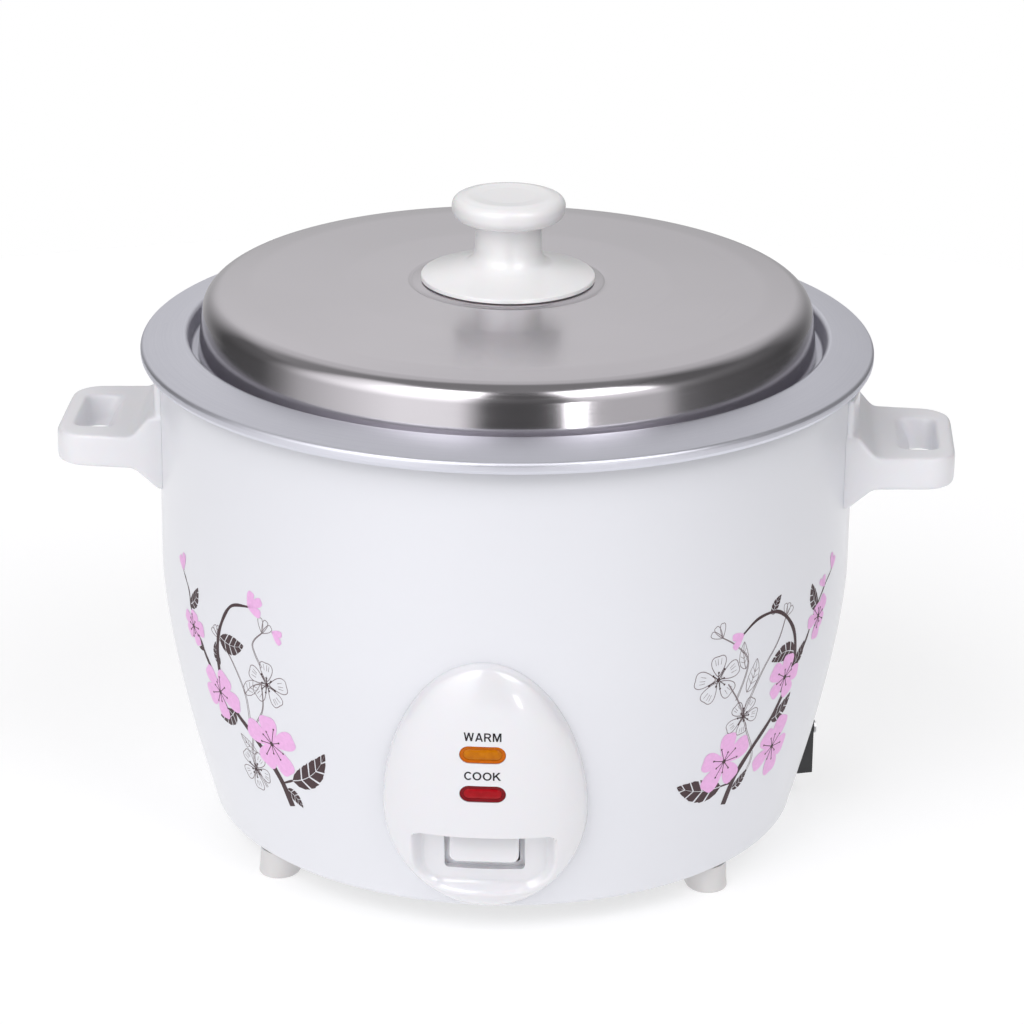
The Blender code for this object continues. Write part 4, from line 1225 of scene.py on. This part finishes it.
# The sprigs, by the Print method that draws each mark, in millimetres round the body and up it
LEFT_SPRIG = {
    "branch": [
        ([(83, 40), (87, 51), (96, 63), (107, 72), (118, 82), (127, 95)], 3.0, 1.3),
        ([(127, 95), (132, 104), (134, 111), (139, 117)], 1.3, 0.4),
        ([(114, 79), (114, 92), (111, 104), (104, 115), (94, 118)], 2.2, 0.9),
        ([(86, 49), (80, 52)], 1.0, 0.7),
    ],
    "twig": [
        ([(96, 44), (101, 54), (97, 68), (90, 79), (89, 90)],),
        ([(99, 68), (99, 82), (105, 94), (112, 100)],), ([(88, 96), (92, 104), (87, 110)], 0.7),
    ],
    "leaf": [
        (80, 52, 158, 24, 9.0, -0.5), (84, 47, 205, 9, 4.2, 0.4), (108, 72, -48, 13, 6.6, 0.5),
        (111, 101, 196, 14, 8.0, -0.5), (133, 106, 148, 11, 5.0, -0.5), (124, 91, 30, 12, 4.8, 0.3),
        (113, 89, 60, 9, 3.8, 0.5),
    ],
    "line_leaf": [
        (99, 82, 130, 12, 5.2, 0.3), (98, 58, 15, 10, 4.4, 0.4),
    ],
    "line_blossom": [
        (86, 90, 9.8, 22), (101, 50, 8.8, 50),
    ],
    "blossom": [
        (88, 65, 13.2, 15), (116, 77, 12.2, 48, 0.92), (131, 98, 8.6, 30, 0.75),
    ],
    "bud": [
        (94, 118, 150, 8.5, 3), (82, 112, 205, 6), (139, 117, 78, 7.5),
    ],
    "line_bud": [
        (87, 110, 110, 6), (112, 100, 60, 5.4),
    ],
}
RIGHT_SPRIG = {
    "branch": [
        ([(102, 41), (105, 52), (112, 62), (121, 72), (129, 85), (137, 97)], 2.8, 1.2),
        ([(137, 97), (143, 107), (151, 114), (158, 118)], 1.2, 0.4),
        ([(127, 80), (130, 93), (127, 106), (118, 115), (107, 116), (99, 112)], 2.2, 0.9),
        ([(104, 50), (98, 50)], 1.0, 0.7),
    ],
    "twig": [
        ([(108, 47), (113, 58), (106, 72), (100, 84), (93, 94)],),
        ([(103, 80), (110, 94), (118, 104), (122, 112)],),
        ([(98, 86), (102, 100), (96, 108), (89, 113)], 0.7),
    ],
    "leaf": [
        (98, 50, 178, 23, 9.4, -0.3), (105, 47, 24, 9, 4.0, 0.5), (121, 71, 12, 13, 5.8, 0.6),
        (129, 96, 158, 14, 7.0, 0.5), (145, 108, 132, 12, 5.6, -0.4), (130, 90, 40, 10, 4.4, 0.3),
        (114, 115, 70, 8, 3.6, -0.4),
    ],
    "line_leaf": [
        (103, 88, 62, 13, 5.6, 0.3), (101, 98, 110, 11, 4.4, -0.3),
    ],
    "line_blossom": [
        (88, 97, 10.4, 22), (103, 78, 8.2, 60),
    ],
    "blossom": [
        (97, 61, 12.6, 20), (126, 58, 12.4, 65, 0.9), (125, 87, 10.6, 5, 0.85), (146, 104, 8.6, 40, 0.7),
    ],
    "bud": [
        (99, 112, 205, 7), (158, 118, 70, 7), (151, 114, 120, 6),
    ],
    "line_bud": [
        (89, 113, 120, 6), (122, 112, 60, 5.4),
    ],
}


def build_print(name, side, sprig):
    art = Print(name, side)
    for kind, marks in sprig.items():
        for mark in marks:
            getattr(art, kind)(*mark)
    art.lay()


# ---------------------------------------------------------------- carried-over CAD nodes

NODE_FINISHES = {
    "sheet": ["base_plate", "lever_bracket", "switch_lever", "sensor_guide", "knob_washer",
              "plate_support_1", "plate_support_2", "plate_support_3"],
    "plated": ["knob_screw", "lever_pivot_pin", "magnet_rod"],
    "heater": ["heating_element"],
    "black": ["inlet_housing", "micro_switch"],
    "brass": ["inlet_pin_live", "inlet_pin_neutral", "inlet_pin_earth"],
    "ferrite": ["ferrite_core", "magnet"],
    "ceramic": ["thermal_fuse", "keep_warm_resistor"],
    "glass": ["warm_lamp", "cook_lamp"],
    "red_wire": ["wire_live"],
    "blue_wire": ["wire_neutral", "wire_heater"],
}


def finish_cad_nodes():
    """Give each node that stays its material, and soften the hard edges of the larger ones."""
    for finish, nodes in NODE_FINISHES.items():
        for node in nodes:
            dress(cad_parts[node], finish)
    for node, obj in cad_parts.items():
        if "screw" in node and not obj.hide_render:
            dress(obj, "plated")
    for node, width in (("inlet_housing", 1.2), ("micro_switch", 0.5), ("keep_warm_resistor", 0.8)):
        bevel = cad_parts[node].modifiers.new("soften", "BEVEL")
        bevel.width = width * MM
        bevel.segments = 3
        bevel.limit_method = "ANGLE"
        bevel.angle_limit = math.radians(40)


def build_spring(node, body):
    """A plated copy of the coil with its own mesh, riding on the given body."""
    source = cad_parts[node]
    mesh = source.data.copy()
    mesh.transform(source.matrix_world)
    spring = add_piece(f"{node}_coil", mesh, body, None, [node])
    dress(spring, "plated")
    smooth(spring, 60)
    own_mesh(spring)


def dress(obj, finish):
    obj.data.materials.clear()
    obj.data.materials.append(MATERIALS[finish])


# ---------------------------------------------------------------- camera, light and floor

TARGET = Vector((0, 0, 120 * MM))
CAMERA_AZIMUTH = math.radians(3.0)
CAMERA_ELEVATION = math.radians(21.0)
CAMERA_DISTANCE = 1.465
CAMERA_ROLL = math.radians(0.6)


def build_camera():
    data = bpy.data.cameras.new("camera")
    data.sensor_width = 36
    data.lens = 137.25
    data.shift_x = 0.0063
    data.clip_start = 0.05
    data.clip_end = 50
    camera = bpy.data.objects.new("camera", data)
    bpy.context.scene.collection.objects.link(camera)
    flat = math.cos(CAMERA_ELEVATION)
    ahead, aside = math.cos(CAMERA_AZIMUTH) * flat, math.sin(CAMERA_AZIMUTH) * flat
    away = Vector((aside, -ahead, math.sin(CAMERA_ELEVATION)))
    camera.location = TARGET + away * CAMERA_DISTANCE
    turn = (-away).to_track_quat("-Z", "Y").to_matrix() @ Matrix.Rotation(CAMERA_ROLL, 3, "Z")
    camera.rotation_euler = turn.to_euler()
    bpy.context.scene.camera = camera


FLOOR_R = 0.75


def build_floor():
    """A pale round table, its own glow taking most of the shade out of it."""
    glow = {"Specular IOR Level": 0.1, "Emission Color": (1, 1, 1, 1), "Emission Strength": 0.6}
    made = Shader("floor", (0.45, 0.45, 0.455), 0.6, glow)
    floor = cylinder("floor", FLOOR_R, -0.02, 0)
    floor.data.materials.append(made.material)


# Brightness of the studio by direction round the camera's own, in degrees, positive to the right
MAX_BRIGHTNESS = 5.0
WALLS = (
    (-180, 0.76), (-160, 0.7), (-140, 0.35), (-128, 0.12), (-100, 0.15), (-90, 0.4), (-80, 0.85), (-60, 1.3),
    (-40, 1.75), (-17, 1.75), (-8, 0.14), (10, 0.12), (20, 0.14), (27, 0.95), (58, 0.98), (66, 0.28),
    (80, 0.18), (125, 0.12), (140, 0.25), (160, 0.55), (180, 0.76),
)
LIGHT_BOXES = (
    (-180, 0.78), (-150, 0.78), (-125, 0.35), (-92, 0.3), (-80, 1.0), (-60, 1.6), (-46, 3.2), (-38, 4.6),
    (-16, 4.6), (-9, 0.12), (22, 0.1), (29, 4.4), (58, 4.4), (65, 0.15), (110, 0.15), (130, 0.4), (150, 0.7),
    (180, 0.78),
)
LOW_LAMP = ((-180, 0.0), (21.5, 0.0), (22, 1.0), (27, 1.0), (27.5, 0.0), (180, 0.0))
LOW_LAMP_BRIGHTNESS = 8.0
CEILING = 0.3


def build_world():
    """A white-backed studio: dark behind the camera, a large box of light high to each side of it."""
    world = bpy.data.worlds.new("studio")
    bpy.context.scene.world = world
    world.use_nodes = True
    world.node_tree.nodes.clear()
    nodes = Nodes(world.node_tree)
    number = nodes.math

    def rise(value, start, end):
        return nodes.remap(value, start, end, interpolation_type="SMOOTHSTEP")

    def blend(low, high, step):
        kept = number("MULTIPLY", low, number("SUBTRACT", 1.0, step))
        return number("ADD", kept, number("MULTIPLY", high, step))

    def round_the_room(value, table):
        ramp = nodes.node("ShaderNodeValToRGB", {"Fac": value})
        stops = ramp.color_ramp.elements
        while len(stops) < len(table):
            stops.new(0.5)
        for stop, (degrees, brightness) in zip(stops, table):
            stop.position = (degrees + 180) / 360
            grey = brightness / MAX_BRIGHTNESS
            stop.color = (grey, grey, grey, 1)
        return number("MULTIPLY", ramp.outputs["Color"], MAX_BRIGHTNESS)

    ahead = nodes.node("ShaderNodeTexCoord").outputs["Generated"]
    room = nodes.node("ShaderNodeMapping", {"Vector": ahead, "Rotation": (0, 0, -CAMERA_AZIMUTH)})
    x, y, z = nodes.node("ShaderNodeSeparateXYZ", {0: room.outputs[0]}).outputs
    azimuth = number("DIVIDE", number("ARCTAN2", x, number("MULTIPLY", y, -1.0)), math.tau)
    azimuth = number("ADD", azimuth, 0.5)
    height = number("MULTIPLY", number("ARCSINE", z), 180 / math.pi)
    fade = number("ADD", 0.75, number("MULTIPLY", rise(height, 0.0, 28.0), 0.5))
    walls = number("MULTIPLY", round_the_room(azimuth, WALLS), fade)
    boxes = round_the_room(azimuth, LIGHT_BOXES)
    total = blend(blend(walls, boxes, rise(height, 28.0, 40.0)), CEILING, rise(height, 58.0, 70.0))
    lamp = number("SUBTRACT", rise(height, -8.0, -6.0), rise(height, 7.0, 9.0))
    lamp = number("MULTIPLY", lamp, round_the_room(azimuth, LOW_LAMP))
    total = number("ADD", total, number("MULTIPLY", lamp, LOW_LAMP_BRIGHTNESS))
    studio = nodes.node("ShaderNodeBackground", {"Strength": total, "Color": (1.0, 0.992, 1.0, 1)})
    plain = nodes.node("ShaderNodeBackground", {"Color": (1, 1, 1, 1)})
    seen = nodes.node("ShaderNodeLightPath").outputs["Is Camera Ray"]
    mix = nodes.node("ShaderNodeMixShader", {0: seen, 1: studio.outputs[0], 2: plain.outputs[0]})
    nodes.node("ShaderNodeOutputWorld", {0: mix.outputs[0]})


bpy.context.scene.view_settings.view_transform = "Standard"
build_camera()
build_floor()
build_world()
build_outer_body()
build_pot()
build_lid()
build_chamber()
build_handle(1, "right")
build_handle(-1, "left")
build_feet()
build_bezel()
build_lens("warm", "amber", "amber_core")
build_lens("cook", "red", "red_core")
build_button()
build_label("WARM", 87.1 * MM, 13.1 * MM)
build_label("COOK", 71.4 * MM, 12.9 * MM)
build_print("left", -1, LEFT_SPRIG)
build_print("right", 1, RIGHT_SPRIG)
build_spring("magnet_spring", "magnet")
build_spring("sensor_spring", "sensor")
finish_cad_nodes()
